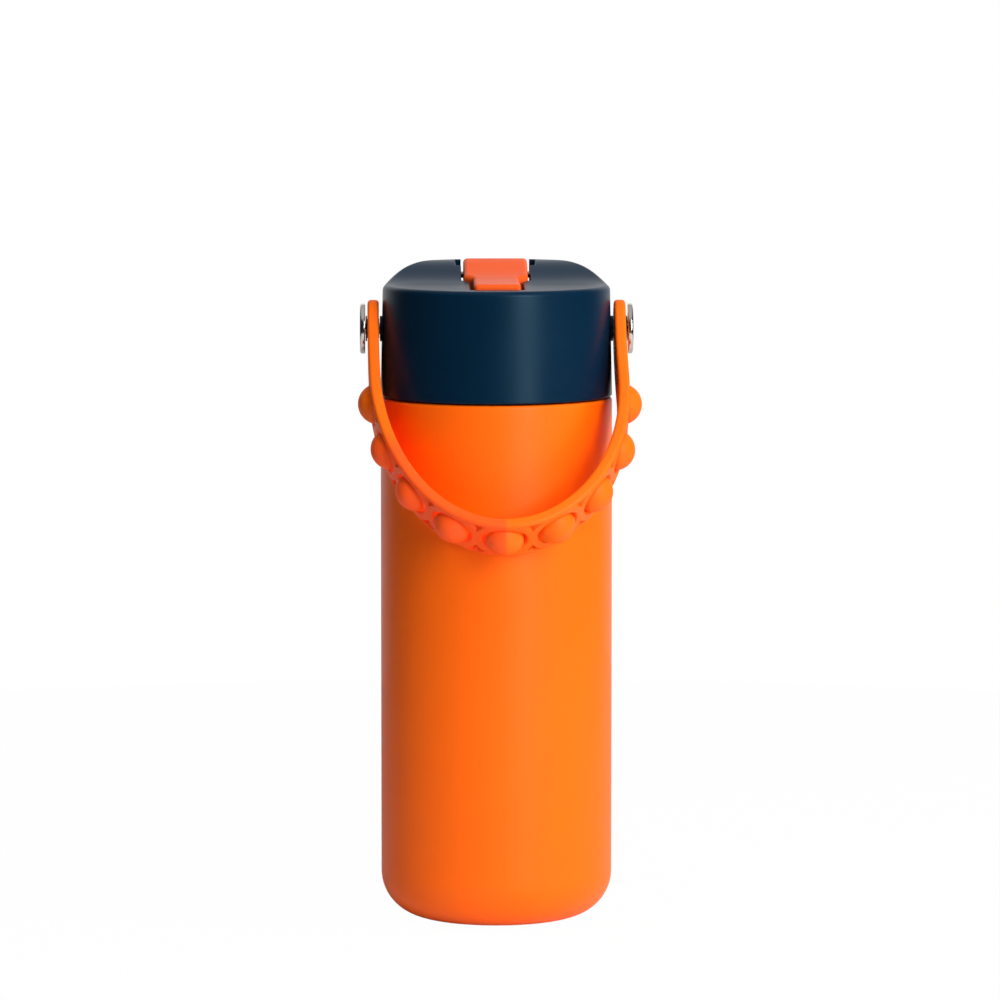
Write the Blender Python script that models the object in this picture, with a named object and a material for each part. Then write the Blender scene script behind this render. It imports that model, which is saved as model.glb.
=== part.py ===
"""Insulated drinking bottle with a screw lid, a flip spout and a bubble carry strap.

Sizes are in metres, +Z is up and the front of the bottle faces -Y. The origin is the centre of
the underside. The shell and the flask stand still, the lid turns about Z on its screw thread,
the spout and the strap turn about X, and each bubble slides along its own local Z.
"""

from math import asin, atan2, cos, degrees, hypot, pi, radians, sin, sqrt, tan

import bmesh
import bpy
import numpy as np
from mathutils import Matrix

# Fits
SEAT_GAP = 0.0003
STACK_GAP = 0.00015

# Outer shell and base
BODY_RADIUS = 0.0350
BODY_TOP = 0.1585
BASE_CORNER = 0.0137
TOP_EDGE = 0.0010
SHELL_WALL = 0.0008
PAD_THICKNESS = 0.0013
PAD_PROUD = 0.0004
BASE_RING_WIDTH = 0.0018
DIMPLE_RADIUS = 0.0050
DIMPLE_DEPTH = 0.0016
SEAL_HOLE_RADIUS = 0.0012
SEAL_RADIUS = 0.0036
SEAL_THICKNESS = 0.0010
GETTER_RADIUS = 0.0040
GETTER_THICKNESS = 0.0010
GETTER_OFFSET = 0.0120

# Inner flask and neck
VACUUM_GAP = 0.0024
BASE_GAP = 0.0018
FLASK_WALL = 0.0009
FLASK_CORNER = 0.0090
NECK_HEIGHT = 0.0120
LIP_THICKNESS = 0.0008

# Screw thread between neck and lid
THREAD_PITCH = 0.0040
THREAD_HEIGHT = 0.0012
THREAD_ROOT = 0.0018
THREAD_CREST = 0.0008
THREAD_GAP = 0.0005
THREAD_TURNS = 1.5
THREAD_START = 0.0025
THREAD_BITE = 0.0004

# Lid shell
SEAM_GAP = 0.0005
LID_HEIGHT = 0.0334
LID_DRAFT = 0.0007
LID_EDGE = 0.0017
LID_FOOT_EDGE = 0.0004
CAP_WALL = 0.0019
CAP_ROOF = 0.0022
RAMP_START = -0.0004
RAMP_END = 0.0266
RAMP_RISE = 0.0058
RAMP_SKEW = 1.28

# Lid liner, gasket, vent and straw
LINER_WALL = 0.0019
LINER_ROOF = 0.0018
LINER_FOOT = 0.0006
GASKET_THICKNESS = 0.0015
GASKET_OVERHANG = 0.0010
STRAW_RADIUS = 0.00275
STRAW_WALL = 0.0007
STRAW_CLEAR = 0.0025
ADAPTER_WALL = 0.00065
ADAPTER_COLLAR = 0.0004
ADAPTER_COLLAR_HEIGHT = 0.0011
ADAPTER_SKIRT = 0.0050
NECK_CLEAR = 0.0004
CHIMNEY_WALL = 0.0014
VENT_OFFSET = 0.0140
VENT_STEM = 0.0010
VENT_UMBRELLA = 0.0035
VENT_LIP = 0.0008
VENT_BULB = 0.0019
VENT_BULB_HEIGHT = 0.0014

# Flip spout and its slot
SPOUT_WIDE = 0.0195
SPOUT_NARROW = 0.0140
WIDE_GAP = 0.00075
NARROW_GAP = 0.0011
SLOT_STEP = 0.0060
SLOT_FRONT = 0.0258
TIP_GAP = 0.0008
TAB_PROUD = 0.0016
BARREL_RADIUS = 0.0050
SPOUT_EDGE = 0.0010
DUCT_RADIUS = 0.0016
DUCT_OFFSET = 0.0026
NOTCH_RADIUS = 0.0040
NOTCH_DEPTH = 0.0016
TROUGH_WALL = 0.0022
TROUGH_FLOOR = 0.0022
PIN_RADIUS = 0.0010
PIN_REACH = 0.0028
SEAT_FLANGE = 0.0008
SEAT_FLANGE_WIDTH = 0.0012
SEAT_BORE_MARGIN = 0.0003
SEAT_STEM = 0.0025

# Studs, bushes and inserts
STUD_HEAD_RADIUS = 0.0076
STUD_HEAD_THICKNESS = 0.0016
STUD_HEAD_EDGE = 0.0007
SHANK_RADIUS = 0.00165
BUSH_WALL = 0.00095
BUSH_FLANGE_RADIUS = 0.00385
BUSH_FLANGE = 0.0004
INSERT_WALL = 0.00075
INSERT_LENGTH = 0.0080
BOSS_WALL = 0.0014
BOSS_FACE_RADIUS = 0.00385
BOSS_END = 0.0008

# Carry strap and its bubbles
STRAP_WIDTH = 0.0170
STRAP_THICKNESS = 0.0034
STRAP_EDGE = 0.0008
STRAP_CLEAR = 0.0005
STRAP_TAB = 0.0087
STRAP_ARM = 0.0220
STRAP_BOW = 0.0497
STRAP_SWAY = 0.0020
SWAY_DEPTH = 0.0600
STRAP_REST_GAP = 0.0013
BUBBLE_COUNT = 9
BUBBLE_PITCH = 0.0169
BUBBLE_RADIUS = 0.0057
BUBBLE_HEIGHT = 0.00365
BUBBLE_WALL = 0.0009
BUBBLE_SKIRT = 0.0010

# Facet counts, sample counts and angles in degrees
BODY_SEGMENTS = 40
THREAD_SEGMENTS = 24
SMALL_SEGMENTS = 16
BUBBLE_SEGMENTS = 12
STRAP_SECTIONS = 42
CORNER_STEPS = 7
INNER_CORNER_STEPS = 4
EDGE_STEPS = 2
RIM_STEPS = 3
RAMP_STEPS = 6
BARREL_STEPS = 8
DOME_STEPS = 3
BOW_SAMPLES = 400
ARM_SAMPLES = 100
PATH_SAMPLES = 801
TAB_ANGLES = (72.0, 48.0, 24.0)
SMOOTH_ANGLE = 35.0
EDGE_ANGLE = 50.0
OVERCUT = 0.0020

# Shares of a turn, of a ridge and of a radius
THREAD_FADE = 0.125
THREAD_TIP = 0.2
LINER_THREAD_FIRST = 0.5
ROOF_SHARES = (1.0, 0.88, 0.76, 0.62, 0.46, 0.28, 0.12)
CAVITY_SHARES = (1.0, 0.85, 0.65, 0.45, 0.2)
SPOUT_RISE = 0.85

# Heights and radii that follow from the sizes above, base first
RECESS_Z = PAD_THICKNESS + SEAT_GAP
FLOOR_TOP = RECESS_Z + SHELL_WALL
DIMPLE_Z = RECESS_Z + DIMPLE_DEPTH
PAD_RADIUS = BODY_RADIUS - BASE_CORNER - BASE_RING_WIDTH - SEAT_GAP
FLASK_RADIUS = BODY_RADIUS - SHELL_WALL - VACUUM_GAP
FLASK_BOTTOM = DIMPLE_Z + SHELL_WALL + BASE_GAP
FLASK_FLOOR = FLASK_BOTTOM + FLASK_WALL
LIP_TOP = BODY_TOP + NECK_HEIGHT
SHELL_NECK_TOP = LIP_TOP - LIP_THICKNESS - SEAT_GAP

# The lid is set out from its wall inwards, and the neck from the lid's liner inwards
LID_BOTTOM = BODY_TOP + SEAM_GAP
LID_RIM = LID_BOTTOM + LID_HEIGHT
LID_TOP_RADIUS = BODY_RADIUS - LID_DRAFT
CAP_BORE = LID_TOP_RADIUS - CAP_WALL
LINER_RADIUS = CAP_BORE - SEAT_GAP
LINER_BORE = LINER_RADIUS - LINER_WALL
NECK_RADIUS = LINER_BORE - THREAD_GAP - THREAD_HEIGHT
SHELL_NECK_BORE = NECK_RADIUS - SHELL_WALL
FLASK_NECK_RADIUS = SHELL_NECK_BORE - SEAT_GAP
NECK_BORE = FLASK_NECK_RADIUS - FLASK_WALL
GASKET_BOTTOM = LIP_TOP + SEAT_GAP
GASKET_TOP = GASKET_BOTTOM + GASKET_THICKNESS
LINER_CEILING = GASKET_TOP + SEAT_GAP
LINER_TOP = LINER_CEILING + LINER_ROOF

# Straw port and spout hinge
ADAPTER_BORE = STRAW_RADIUS + SEAT_GAP
ADAPTER_RADIUS = ADAPTER_BORE + ADAPTER_WALL
COLLAR_RADIUS = ADAPTER_RADIUS + ADAPTER_COLLAR
PORT_RADIUS = ADAPTER_RADIUS + SEAT_GAP
PORT_Y = NECK_BORE - COLLAR_RADIUS - NECK_CLEAR
HINGE_Y = PORT_Y + DUCT_OFFSET
SLOT_WIDE_HALF = SPOUT_WIDE / 2 + WIDE_GAP
SLOT_NARROW_HALF = SPOUT_NARROW / 2 + NARROW_GAP
SLOT_WIDE_START = SLOT_STEP + SLOT_WIDE_HALF - SLOT_NARROW_HALF
NOTCH_HALF = SLOT_WIDE_HALF + NOTCH_DEPTH
TROUGH_HALF = NOTCH_HALF + TROUGH_WALL

# Stud stack, outwards along X
STRAP_INNER = BODY_RADIUS + STRAP_CLEAR
STRAP_OUTER = STRAP_INNER + STRAP_THICKNESS
BUSH_BORE = SHANK_RADIUS + SEAT_GAP
BUSH_RADIUS = BUSH_BORE + BUSH_WALL
EYELET_RADIUS = BUSH_RADIUS + SEAT_GAP
INSERT_RADIUS = BUSH_BORE + INSERT_WALL
BOSS_BORE = INSERT_RADIUS + SEAT_GAP
BOSS_RADIUS = BOSS_BORE + BOSS_WALL
BOSS_FACE = STRAP_INNER - SEAT_GAP
FLANGE_FACE = STRAP_OUTER + STACK_GAP
HEAD_FACE = FLANGE_FACE + BUSH_FLANGE + STACK_GAP
INSERT_FACE = BOSS_FACE - BOSS_END
STUD_Z = LINER_TOP + SEAT_GAP + BOSS_RADIUS


def lid_top(y):
    """Height of the lid's top face at depth y: flat at the front, then a ramp to a plateau."""
    along = min(max((y - RAMP_START) / (RAMP_END - RAMP_START), 0.0), 1.0) ** RAMP_SKEW
    return LID_RIM + RAMP_RISE * along * along * (3.0 - 2.0 * along)


def spout_top(y):
    """Height of the spout's top face at depth y: proud of the lid, and a little less steep."""
    return LID_RIM + TAB_PROUD + SPOUT_RISE * (lid_top(y) - LID_RIM)


HINGE_Z = spout_top(HINGE_Y) - BARREL_RADIUS
SEAT_TOP = HINGE_Z - BARREL_RADIUS - SEAT_GAP
SLOT_FLOOR = SEAT_TOP - SEAT_FLANGE - SEAT_GAP
TROUGH_BOTTOM = SLOT_FLOOR - TROUGH_FLOOR
CHIMNEY_TOP = TROUGH_BOTTOM - SEAT_GAP
SEAT_BOTTOM = TROUGH_BOTTOM - SEAT_STEM
ADAPTER_TOP = SEAT_BOTTOM - SEAT_GAP
ABOVE_LID = LID_RIM + RAMP_RISE + OVERCUT

# The strap leans forward until its rear edge lies just off the front of the shell
STRAP_DROP = STRAP_ARM + STRAP_BOW
STRAP_REACH = hypot(STRAP_DROP, STRAP_WIDTH / 2)
STRAP_LEAN = asin((BODY_RADIUS + STRAP_REST_GAP) / STRAP_REACH) + atan2(STRAP_WIDTH / 2, STRAP_DROP)


def clear_scene():
    """Remove every object from the open scene."""
    for item in list(bpy.data.objects):
        bpy.data.objects.remove(item, do_unlink=True)


def finish(name, colour, roughness, metallic=0.0):
    """Principled material from a linear RGB colour."""
    made = bpy.data.materials.new(name)
    made.use_nodes = True
    shader = made.node_tree.nodes["Principled BSDF"]
    shader.inputs["Base Color"].default_value = (*colour, 1.0)
    shader.inputs["Roughness"].default_value = roughness
    shader.inputs["Metallic"].default_value = metallic
    return made


def empty(name, location, parent=None, rotation=(0.0, 0.0, 0.0)):
    """Plain axes empty that carries a moving group."""
    made = bpy.data.objects.new(name, None)
    bpy.context.scene.collection.objects.link(made)
    made.location = location
    made.rotation_euler = rotation
    made.parent = parent
    return made


def add_object(name, bm, material=None, parent=None, location=(0.0, 0.0, 0.0), rotation=(0.0, 0.0, 0.0)):
    """Link a closed bmesh as an object; without a material it is a cutter or a core."""
    bmesh.ops.recalc_face_normals(bm, faces=bm.faces)
    mesh = bpy.data.meshes.new(name)
    bm.to_mesh(mesh)
    bm.free()
    mesh.shade_smooth()
    mesh.set_sharp_from_angle(angle=radians(SMOOTH_ANGLE))
    made = bpy.data.objects.new(name, mesh)
    bpy.context.scene.collection.objects.link(made)
    made.location = location
    made.rotation_euler = rotation
    made.parent = parent
    if material is None:
        made.hide_render = True
        made.display_type = "WIRE"
    else:
        mesh.materials.append(material)
    return made


def combine(target, other, operation):
    """Add an exact Boolean of the target with another object."""
    step = target.modifiers.new(f"{operation.lower()}_{other.name}", "BOOLEAN")
    step.operation = operation
    step.solver = "EXACT"
    step.object = other


def cut(target, *cutters):
    """Take each cutter away from the target."""
    for cutter in cutters:
        combine(target, cutter, "DIFFERENCE")


def fuse(target, *cores):
    """Join each core to the target."""
    for core in cores:
        combine(target, core, "UNION")


def arc(centre, radius, start, end, steps):
    """Points of an arc in a profile plane, angles in degrees from its first axis."""
    angles = [radians(start + (end - start) * index / steps) for index in range(steps + 1)]
    return [(centre[0] + radius * cos(angle), centre[1] + radius * sin(angle)) for angle in angles]


def turned(outline, segments):
    """Spin a radius and height outline about Z. An outline that ends on the axis stays open there."""
    bm = bmesh.new()
    verts = [bm.verts.new((radius, 0.0, height)) for radius, height in outline]
    closed = outline[0][0] > 0.0
    last = len(verts) if closed else len(verts) - 1
    edges = [bm.edges.new((verts[index], verts[(index + 1) % len(verts)])) for index in range(last)]
    bmesh.ops.spin(
        bm, geom=verts + edges, cent=(0.0, 0.0, 0.0), axis=(0.0, 0.0, 1.0),
        angle=2.0 * pi, steps=segments, use_merge=True,
    )
    bmesh.ops.remove_doubles(bm, verts=bm.verts, dist=1e-7)
    return bm


def prism(outline, half_width):
    """Extrude a Y and Z outline across X."""
    bm = bmesh.new()
    face = bm.faces.new([bm.verts.new((-half_width, y, z)) for y, z in outline])
    side = bmesh.ops.extrude_face_region(bm, geom=[face])["geom"]
    moved = [item for item in side if isinstance(item, bmesh.types.BMVert)]
    bmesh.ops.translate(bm, verts=moved, vec=(2.0 * half_width, 0.0, 0.0))
    return bm


def column(outline, bottom, top):
    """Extrude an X and Y outline upwards."""
    bm = bmesh.new()
    face = bm.faces.new([bm.verts.new((x, y, bottom)) for x, y in outline])
    side = bmesh.ops.extrude_face_region(bm, geom=[face])["geom"]
    moved = [item for item in side if isinstance(item, bmesh.types.BMVert)]
    bmesh.ops.translate(bm, verts=moved, vec=(0.0, 0.0, top - bottom))
    return bm


def add_rods(name, radius, spans, location, axis="X"):
    """Cutter or core made of round rods along X, Y or Z, one for each span of that axis."""
    turn = {
        "X": Matrix.Rotation(pi / 2, 4, "Y"),
        "Y": Matrix.Rotation(-pi / 2, 4, "X"),
        "Z": Matrix.Identity(4),
    }[axis]
    bm = bmesh.new()
    for start, end in spans:
        shift = Matrix.Translation((0.0, 0.0, (start + end) / 2))
        bmesh.ops.create_cone(
            bm, cap_ends=True, segments=SMALL_SEGMENTS, radius1=radius, radius2=radius,
            depth=end - start, matrix=turn @ shift,
        )
    return add_object(name, bm, location=location)


def thread_ridge(name, root, height, first_turn, last_turn, base):
    """Helical ridge on a wall of radius root: outwards for a positive height, inwards for a negative."""
    steps = round((last_turn - first_turn) * THREAD_SEGMENTS)
    fade = THREAD_SEGMENTS * THREAD_FADE
    bite = THREAD_BITE if height > 0.0 else -THREAD_BITE
    bm = bmesh.new()
    rings = []
    for index in range(steps + 1):
        turn = first_turn + (last_turn - first_turn) * index / steps
        angle = 2.0 * pi * turn
        level = base + THREAD_PITCH * turn
        from_end = max(min(index, steps - index), THREAD_TIP)
        full = min(1.0, from_end / fade)
        crest = root + height * full
        section = [
            (root - bite, -THREAD_ROOT / 2), (crest, -THREAD_CREST / 2),
            (crest, THREAD_CREST / 2), (root - bite, THREAD_ROOT / 2),
        ]
        ring = [bm.verts.new((r * cos(angle), r * sin(angle), level + rise)) for r, rise in section]
        rings.append(ring)
    for near, far in zip(rings, rings[1:]):
        for side in range(4):
            nearby = (side + 1) % 4
            bm.faces.new((near[side], near[nearby], far[nearby], far[side]))
    bm.faces.new(rings[0])
    bm.faces.new(rings[-1])
    bmesh.ops.triangulate(bm, faces=bm.faces)
    return add_object(name, bm)


def make_shell(material, parent):
    """Outer wall: recessed base, rounded corner, shoulder and threaded neck."""
    inner_radius = BODY_RADIUS - SHELL_WALL
    corner_z = PAD_PROUD + BASE_CORNER
    inner_corner = corner_z - FLOOR_TOP
    outline = [
        (SEAL_HOLE_RADIUS, DIMPLE_Z),
        (DIMPLE_RADIUS, DIMPLE_Z),
        (DIMPLE_RADIUS, RECESS_Z),
        (PAD_RADIUS + SEAT_GAP, RECESS_Z),
        (PAD_RADIUS + SEAT_GAP, PAD_PROUD),
        *arc((BODY_RADIUS - BASE_CORNER, corner_z), BASE_CORNER, -90, 0, CORNER_STEPS),
        *arc((BODY_RADIUS - TOP_EDGE, BODY_TOP - TOP_EDGE), TOP_EDGE, 0, 90, EDGE_STEPS),
        (NECK_RADIUS, BODY_TOP),
        (NECK_RADIUS, SHELL_NECK_TOP),
        (SHELL_NECK_BORE, SHELL_NECK_TOP),
        (SHELL_NECK_BORE, BODY_TOP - SHELL_WALL),
        (inner_radius - TOP_EDGE, BODY_TOP - SHELL_WALL),
        (inner_radius, BODY_TOP - SHELL_WALL - TOP_EDGE),
        *arc((inner_radius - inner_corner, corner_z), inner_corner, 0, -90, INNER_CORNER_STEPS),
        (DIMPLE_RADIUS + SHELL_WALL, FLOOR_TOP),
        (DIMPLE_RADIUS + SHELL_WALL, DIMPLE_Z + SHELL_WALL),
        (SEAL_HOLE_RADIUS, DIMPLE_Z + SHELL_WALL),
    ]
    shell = add_object("outer_shell", turned(outline, BODY_SEGMENTS), material, parent)
    ridge = thread_ridge("neck_ridge", NECK_RADIUS, THREAD_HEIGHT, 0.0, THREAD_TURNS, BODY_TOP + THREAD_START)
    fuse(shell, ridge)


def make_base(pad_material, seal_material, getter_material, parent):
    """Soft pad, evacuation seal and gas getter."""
    pad = [(0.0, PAD_THICKNESS), (PAD_RADIUS, PAD_THICKNESS), (PAD_RADIUS, 0.0), (0.0, 0.0)]
    add_object("base_pad", turned(pad, BODY_SEGMENTS), pad_material, parent)
    seal_top = DIMPLE_Z - SEAT_GAP
    stem = SEAL_HOLE_RADIUS - SEAT_GAP
    seal = [
        (0.0, DIMPLE_Z + SHELL_WALL), (stem, DIMPLE_Z + SHELL_WALL), (stem, seal_top),
        (SEAL_RADIUS, seal_top), (SEAL_RADIUS, seal_top - SEAL_THICKNESS), (0.0, seal_top - SEAL_THICKNESS),
    ]
    add_object("vacuum_seal", turned(seal, SMALL_SEGMENTS), seal_material, parent)
    getter = [
        (0.0, GETTER_THICKNESS), (GETTER_RADIUS, GETTER_THICKNESS), (GETTER_RADIUS, 0.0), (0.0, 0.0),
    ]
    place = (GETTER_OFFSET, 0.0, FLOOR_TOP + SEAT_GAP)
    add_object("getter", turned(getter, SMALL_SEGMENTS), getter_material, parent, place)


def make_flask(material, parent):
    """Inner wall: floor, corner, sloping shoulder, neck tube and rolled lip."""
    inner_radius = FLASK_RADIUS - FLASK_WALL
    inner_corner = FLASK_CORNER - FLASK_WALL
    corner_z = FLASK_BOTTOM + FLASK_CORNER
    slope_top = BODY_TOP - SHELL_WALL - VACUUM_GAP
    slope_bottom = slope_top - (FLASK_RADIUS - FLASK_NECK_RADIUS)
    shift = FLASK_WALL * tan(pi / 8)
    outline = [
        (0.0, FLASK_BOTTOM),
        *arc((FLASK_RADIUS - FLASK_CORNER, corner_z), FLASK_CORNER, -90, 0, INNER_CORNER_STEPS),
        (FLASK_RADIUS, slope_bottom),
        (FLASK_NECK_RADIUS, slope_top),
        (FLASK_NECK_RADIUS, LIP_TOP - LIP_THICKNESS),
        (NECK_RADIUS, LIP_TOP - LIP_THICKNESS),
        (NECK_RADIUS, LIP_TOP),
        (NECK_BORE, LIP_TOP),
        (NECK_BORE, slope_top - shift),
        (inner_radius, slope_bottom - shift),
        *arc((inner_radius - inner_corner, corner_z), inner_corner, 0, -90, INNER_CORNER_STEPS),
        (0.0, FLASK_FLOOR),
    ]
    add_object("inner_flask", turned(outline, BODY_SEGMENTS), material, parent)


def lid_solid(rows, pole_bottom, pole_top):
    """Closed solid from rows of height functions: each row is a radius and a height at (radius, y)."""
    bm = bmesh.new()
    rings = []
    for radius, height in rows:
        ring = []
        for index in range(BODY_SEGMENTS):
            angle = 2.0 * pi * (index + 0.5) / BODY_SEGMENTS
            y = radius * sin(angle)
            ring.append(bm.verts.new((radius * cos(angle), y, height(y))))
        rings.append(ring)
    for low, high in zip(rings, rings[1:]):
        for index in range(BODY_SEGMENTS):
            nearby = (index + 1) % BODY_SEGMENTS
            bm.faces.new((low[index], low[nearby], high[nearby], high[index]))
    for ring, height in ((rings[0], pole_bottom), (rings[-1], pole_top)):
        pole = bm.verts.new((0.0, 0.0, height))
        for index in range(BODY_SEGMENTS):
            bm.faces.new((ring[index], ring[(index + 1) % BODY_SEGMENTS], pole))
    bmesh.ops.triangulate(bm, faces=bm.faces)
    return bm


def outer_lid_rows():
    """Drafted wall, rounded edge and ramped top of the lid, from the foot to the middle."""
    rim = LID_TOP_RADIUS
    inset = LID_EDGE * (1.0 - sqrt(0.5))
    rows = [
        (BODY_RADIUS - LID_FOOT_EDGE, lambda y: LID_BOTTOM),
        (BODY_RADIUS, lambda y: LID_BOTTOM + LID_FOOT_EDGE),
        (rim, lambda y: lid_top(y) - LID_EDGE),
        (rim - inset, lambda y: lid_top(y) - inset),
    ]
    inner = rim - LID_EDGE
    rows += [(inner * share, lid_top) for share in ROOF_SHARES]
    return rows


def cavity_rows():
    """Room under the lid's roof, open below the lid's foot."""
    rows = [(CAP_BORE, lambda y: LID_BOTTOM - OVERCUT)]
    rows += [(CAP_BORE * share, lambda y: lid_top(y) - CAP_ROOF) for share in CAVITY_SHARES]
    return rows


def slot_outline():
    """Plan of the spout slot: narrow at the front, wider from the step to the open back."""
    half = [
        (SLOT_NARROW_HALF, -SLOT_FRONT), (SLOT_NARROW_HALF, SLOT_STEP),
        (SLOT_WIDE_HALF, SLOT_WIDE_START), (SLOT_WIDE_HALF, BODY_RADIUS + OVERCUT),
    ]
    return half + [(-x, y) for x, y in reversed(half)]


def make_cap(material, parent):
    """Lid shell with its spout trough, hinge notches and stud bosses."""
    cap = add_object("cap_shell", lid_solid(outer_lid_rows(), LID_BOTTOM, LID_RIM), material, parent)
    cavity = add_object("cap_cavity", lid_solid(cavity_rows(), LID_BOTTOM - OVERCUT, LID_RIM - CAP_ROOF))
    trough_front = -SLOT_FRONT - TROUGH_WALL
    trough = [
        (trough_front, TROUGH_BOTTOM), (BODY_RADIUS + OVERCUT, TROUGH_BOTTOM),
        (BODY_RADIUS + OVERCUT, ABOVE_LID), (trough_front, ABOVE_LID),
    ]
    trough_core = add_object("trough_core", prism(trough, TROUGH_HALF))
    boss_inner = INSERT_FACE - INSERT_LENGTH - BOSS_END
    spans = [(boss_inner, STRAP_OUTER), (-STRAP_OUTER, -boss_inner)]
    boss_core = add_rods("boss_core", BOSS_RADIUS, spans, (0.0, 0.0, STUD_Z))
    cut(cavity, trough_core, boss_core)

    slot = add_object("spout_slot", column(slot_outline(), SLOT_FLOOR, ABOVE_LID))
    notch = arc((HINGE_Y, HINGE_Z), NOTCH_RADIUS, 180, 360, BARREL_STEPS)
    notch += [(HINGE_Y + NOTCH_RADIUS, ABOVE_LID), (HINGE_Y - NOTCH_RADIUS, ABOVE_LID)]
    notch_cut = add_object("hinge_notch", prism(notch, NOTCH_HALF))
    wall = CAP_BORE - CAP_WALL
    face_spans = [(wall, BOSS_FACE), (-BOSS_FACE, -wall)]
    boss_face = add_rods("boss_face", BOSS_FACE_RADIUS, face_spans, (0.0, 0.0, STUD_Z))
    bore = add_rods("boss_bore", BOSS_BORE, [(-STRAP_OUTER, STRAP_OUTER)], (0.0, 0.0, STUD_Z))
    port = add_rods("floor_port", PORT_RADIUS, [(TROUGH_BOTTOM - OVERCUT, SLOT_FLOOR + OVERCUT)],
                    (0.0, PORT_Y, 0.0), "Z")
    reach = TROUGH_HALF + OVERCUT
    pin_hole = add_rods("wall_pin_hole", PIN_RADIUS + SEAT_GAP, [(-reach, reach)], (0.0, HINGE_Y, HINGE_Z))
    cut(cap, cavity, slot, notch_cut)
    fuse(cap, boss_face)
    cut(cap, bore, port, pin_hole)


def make_liner(material, parent):
    """Threaded sleeve and ceiling inside the lid, with the chimney that holds the straw."""
    foot = LID_BOTTOM + LINER_FOOT
    vent_hole = VENT_STEM + SEAT_GAP
    outline = [
        (0.0, LINER_TOP), (LINER_RADIUS, LINER_TOP), (LINER_RADIUS, foot),
        (LINER_BORE, foot), (LINER_BORE, LINER_CEILING), (0.0, LINER_CEILING),
    ]
    liner = add_object("cap_liner", turned(outline, BODY_SEGMENTS), material, parent)
    base = BODY_TOP + THREAD_START - THREAD_PITCH / 2
    ridge = thread_ridge("liner_ridge", LINER_BORE, -THREAD_HEIGHT, LINER_THREAD_FIRST, THREAD_TURNS, base)
    middle = (LINER_CEILING + LINER_TOP) / 2
    chimney_radius = PORT_RADIUS + CHIMNEY_WALL
    place = (0.0, PORT_Y, 0.0)
    chimney = add_rods("chimney_core", chimney_radius, [(middle, CHIMNEY_TOP)], place, "Z")
    port_span = (LINER_CEILING - OVERCUT, CHIMNEY_TOP + OVERCUT)
    port = add_rods("chimney_port", PORT_RADIUS, [port_span], place, "Z")
    vent = add_rods("vent_port", vent_hole, [(LINER_CEILING - OVERCUT, LINER_TOP + OVERCUT)],
                    (0.0, -VENT_OFFSET, 0.0), "Z")
    fuse(liner, ridge, chimney)
    cut(liner, port, vent)


def make_lid_seals(seal_material, valve_material, parent):
    """Lip gasket, vent valve and the soft seat under the spout."""
    outer = NECK_RADIUS + GASKET_OVERHANG
    gasket = [
        (NECK_BORE, GASKET_TOP), (outer, GASKET_TOP), (outer, GASKET_BOTTOM), (NECK_BORE, GASKET_BOTTOM),
    ]
    add_object("lid_gasket", turned(gasket, BODY_SEGMENTS), seal_material, parent)
    lip_top = LINER_CEILING - SEAT_GAP
    bulb = LINER_TOP + SEAT_GAP
    valve = [
        (0.0, bulb + VENT_BULB_HEIGHT), (VENT_STEM, bulb + VENT_BULB_HEIGHT), (VENT_BULB, bulb),
        (VENT_STEM, bulb), (VENT_STEM, lip_top), (VENT_UMBRELLA, lip_top), (0.0, lip_top - VENT_LIP),
    ]
    place = (0.0, -VENT_OFFSET, 0.0)
    add_object("vent_valve", turned(valve, SMALL_SEGMENTS), valve_material, parent, place)
    bore = DUCT_RADIUS + SEAT_BORE_MARGIN
    flange = ADAPTER_RADIUS + SEAT_FLANGE_WIDTH
    under = SEAT_TOP - SEAT_FLANGE
    seat = [
        (bore, SEAT_TOP), (flange, SEAT_TOP), (flange, under),
        (ADAPTER_RADIUS, under), (ADAPTER_RADIUS, SEAT_BOTTOM), (bore, SEAT_BOTTOM),
    ]
    add_object("spout_seat", turned(seat, SMALL_SEGMENTS), seal_material, parent, (0.0, PORT_Y, 0.0))


def make_straw(straw_material, adapter_material, parent):
    """Straw and the collared adapter that grips it in the chimney."""
    collar_top = LINER_CEILING - SEAT_GAP
    collar_bottom = collar_top - ADAPTER_COLLAR_HEIGHT
    foot = collar_bottom - ADAPTER_SKIRT
    adapter = [
        (ADAPTER_BORE, ADAPTER_TOP), (ADAPTER_RADIUS, ADAPTER_TOP), (ADAPTER_RADIUS, collar_top),
        (COLLAR_RADIUS, collar_top), (COLLAR_RADIUS, collar_bottom), (ADAPTER_RADIUS, collar_bottom),
        (ADAPTER_RADIUS, foot), (ADAPTER_BORE, foot),
    ]
    place = (0.0, PORT_Y, 0.0)
    add_object("straw_adapter", turned(adapter, SMALL_SEGMENTS), adapter_material, parent, place)
    tip = FLASK_FLOOR + STRAW_CLEAR
    bore = STRAW_RADIUS - STRAW_WALL
    straw = [(bore, ADAPTER_TOP), (STRAW_RADIUS, ADAPTER_TOP), (STRAW_RADIUS, tip), (bore, tip)]
    add_object("straw", turned(straw, SMALL_SEGMENTS), straw_material, parent, place)


def spout_outline(tip):
    """Side view of the spout about its hinge: flat tab, ramp, then the barrel."""
    depths = [RAMP_START + (HINGE_Y - RAMP_START) * index / RAMP_STEPS for index in range(RAMP_STEPS)]
    ramp = [(y - HINGE_Y, spout_top(y) - HINGE_Z) for y in depths]
    barrel = arc((0.0, 0.0), BARREL_RADIUS, 90, -90, BARREL_STEPS)
    return [(tip, spout_top(RAMP_START) - HINGE_Z), *ramp, *barrel, (tip, -BARREL_RADIUS)]


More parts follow.
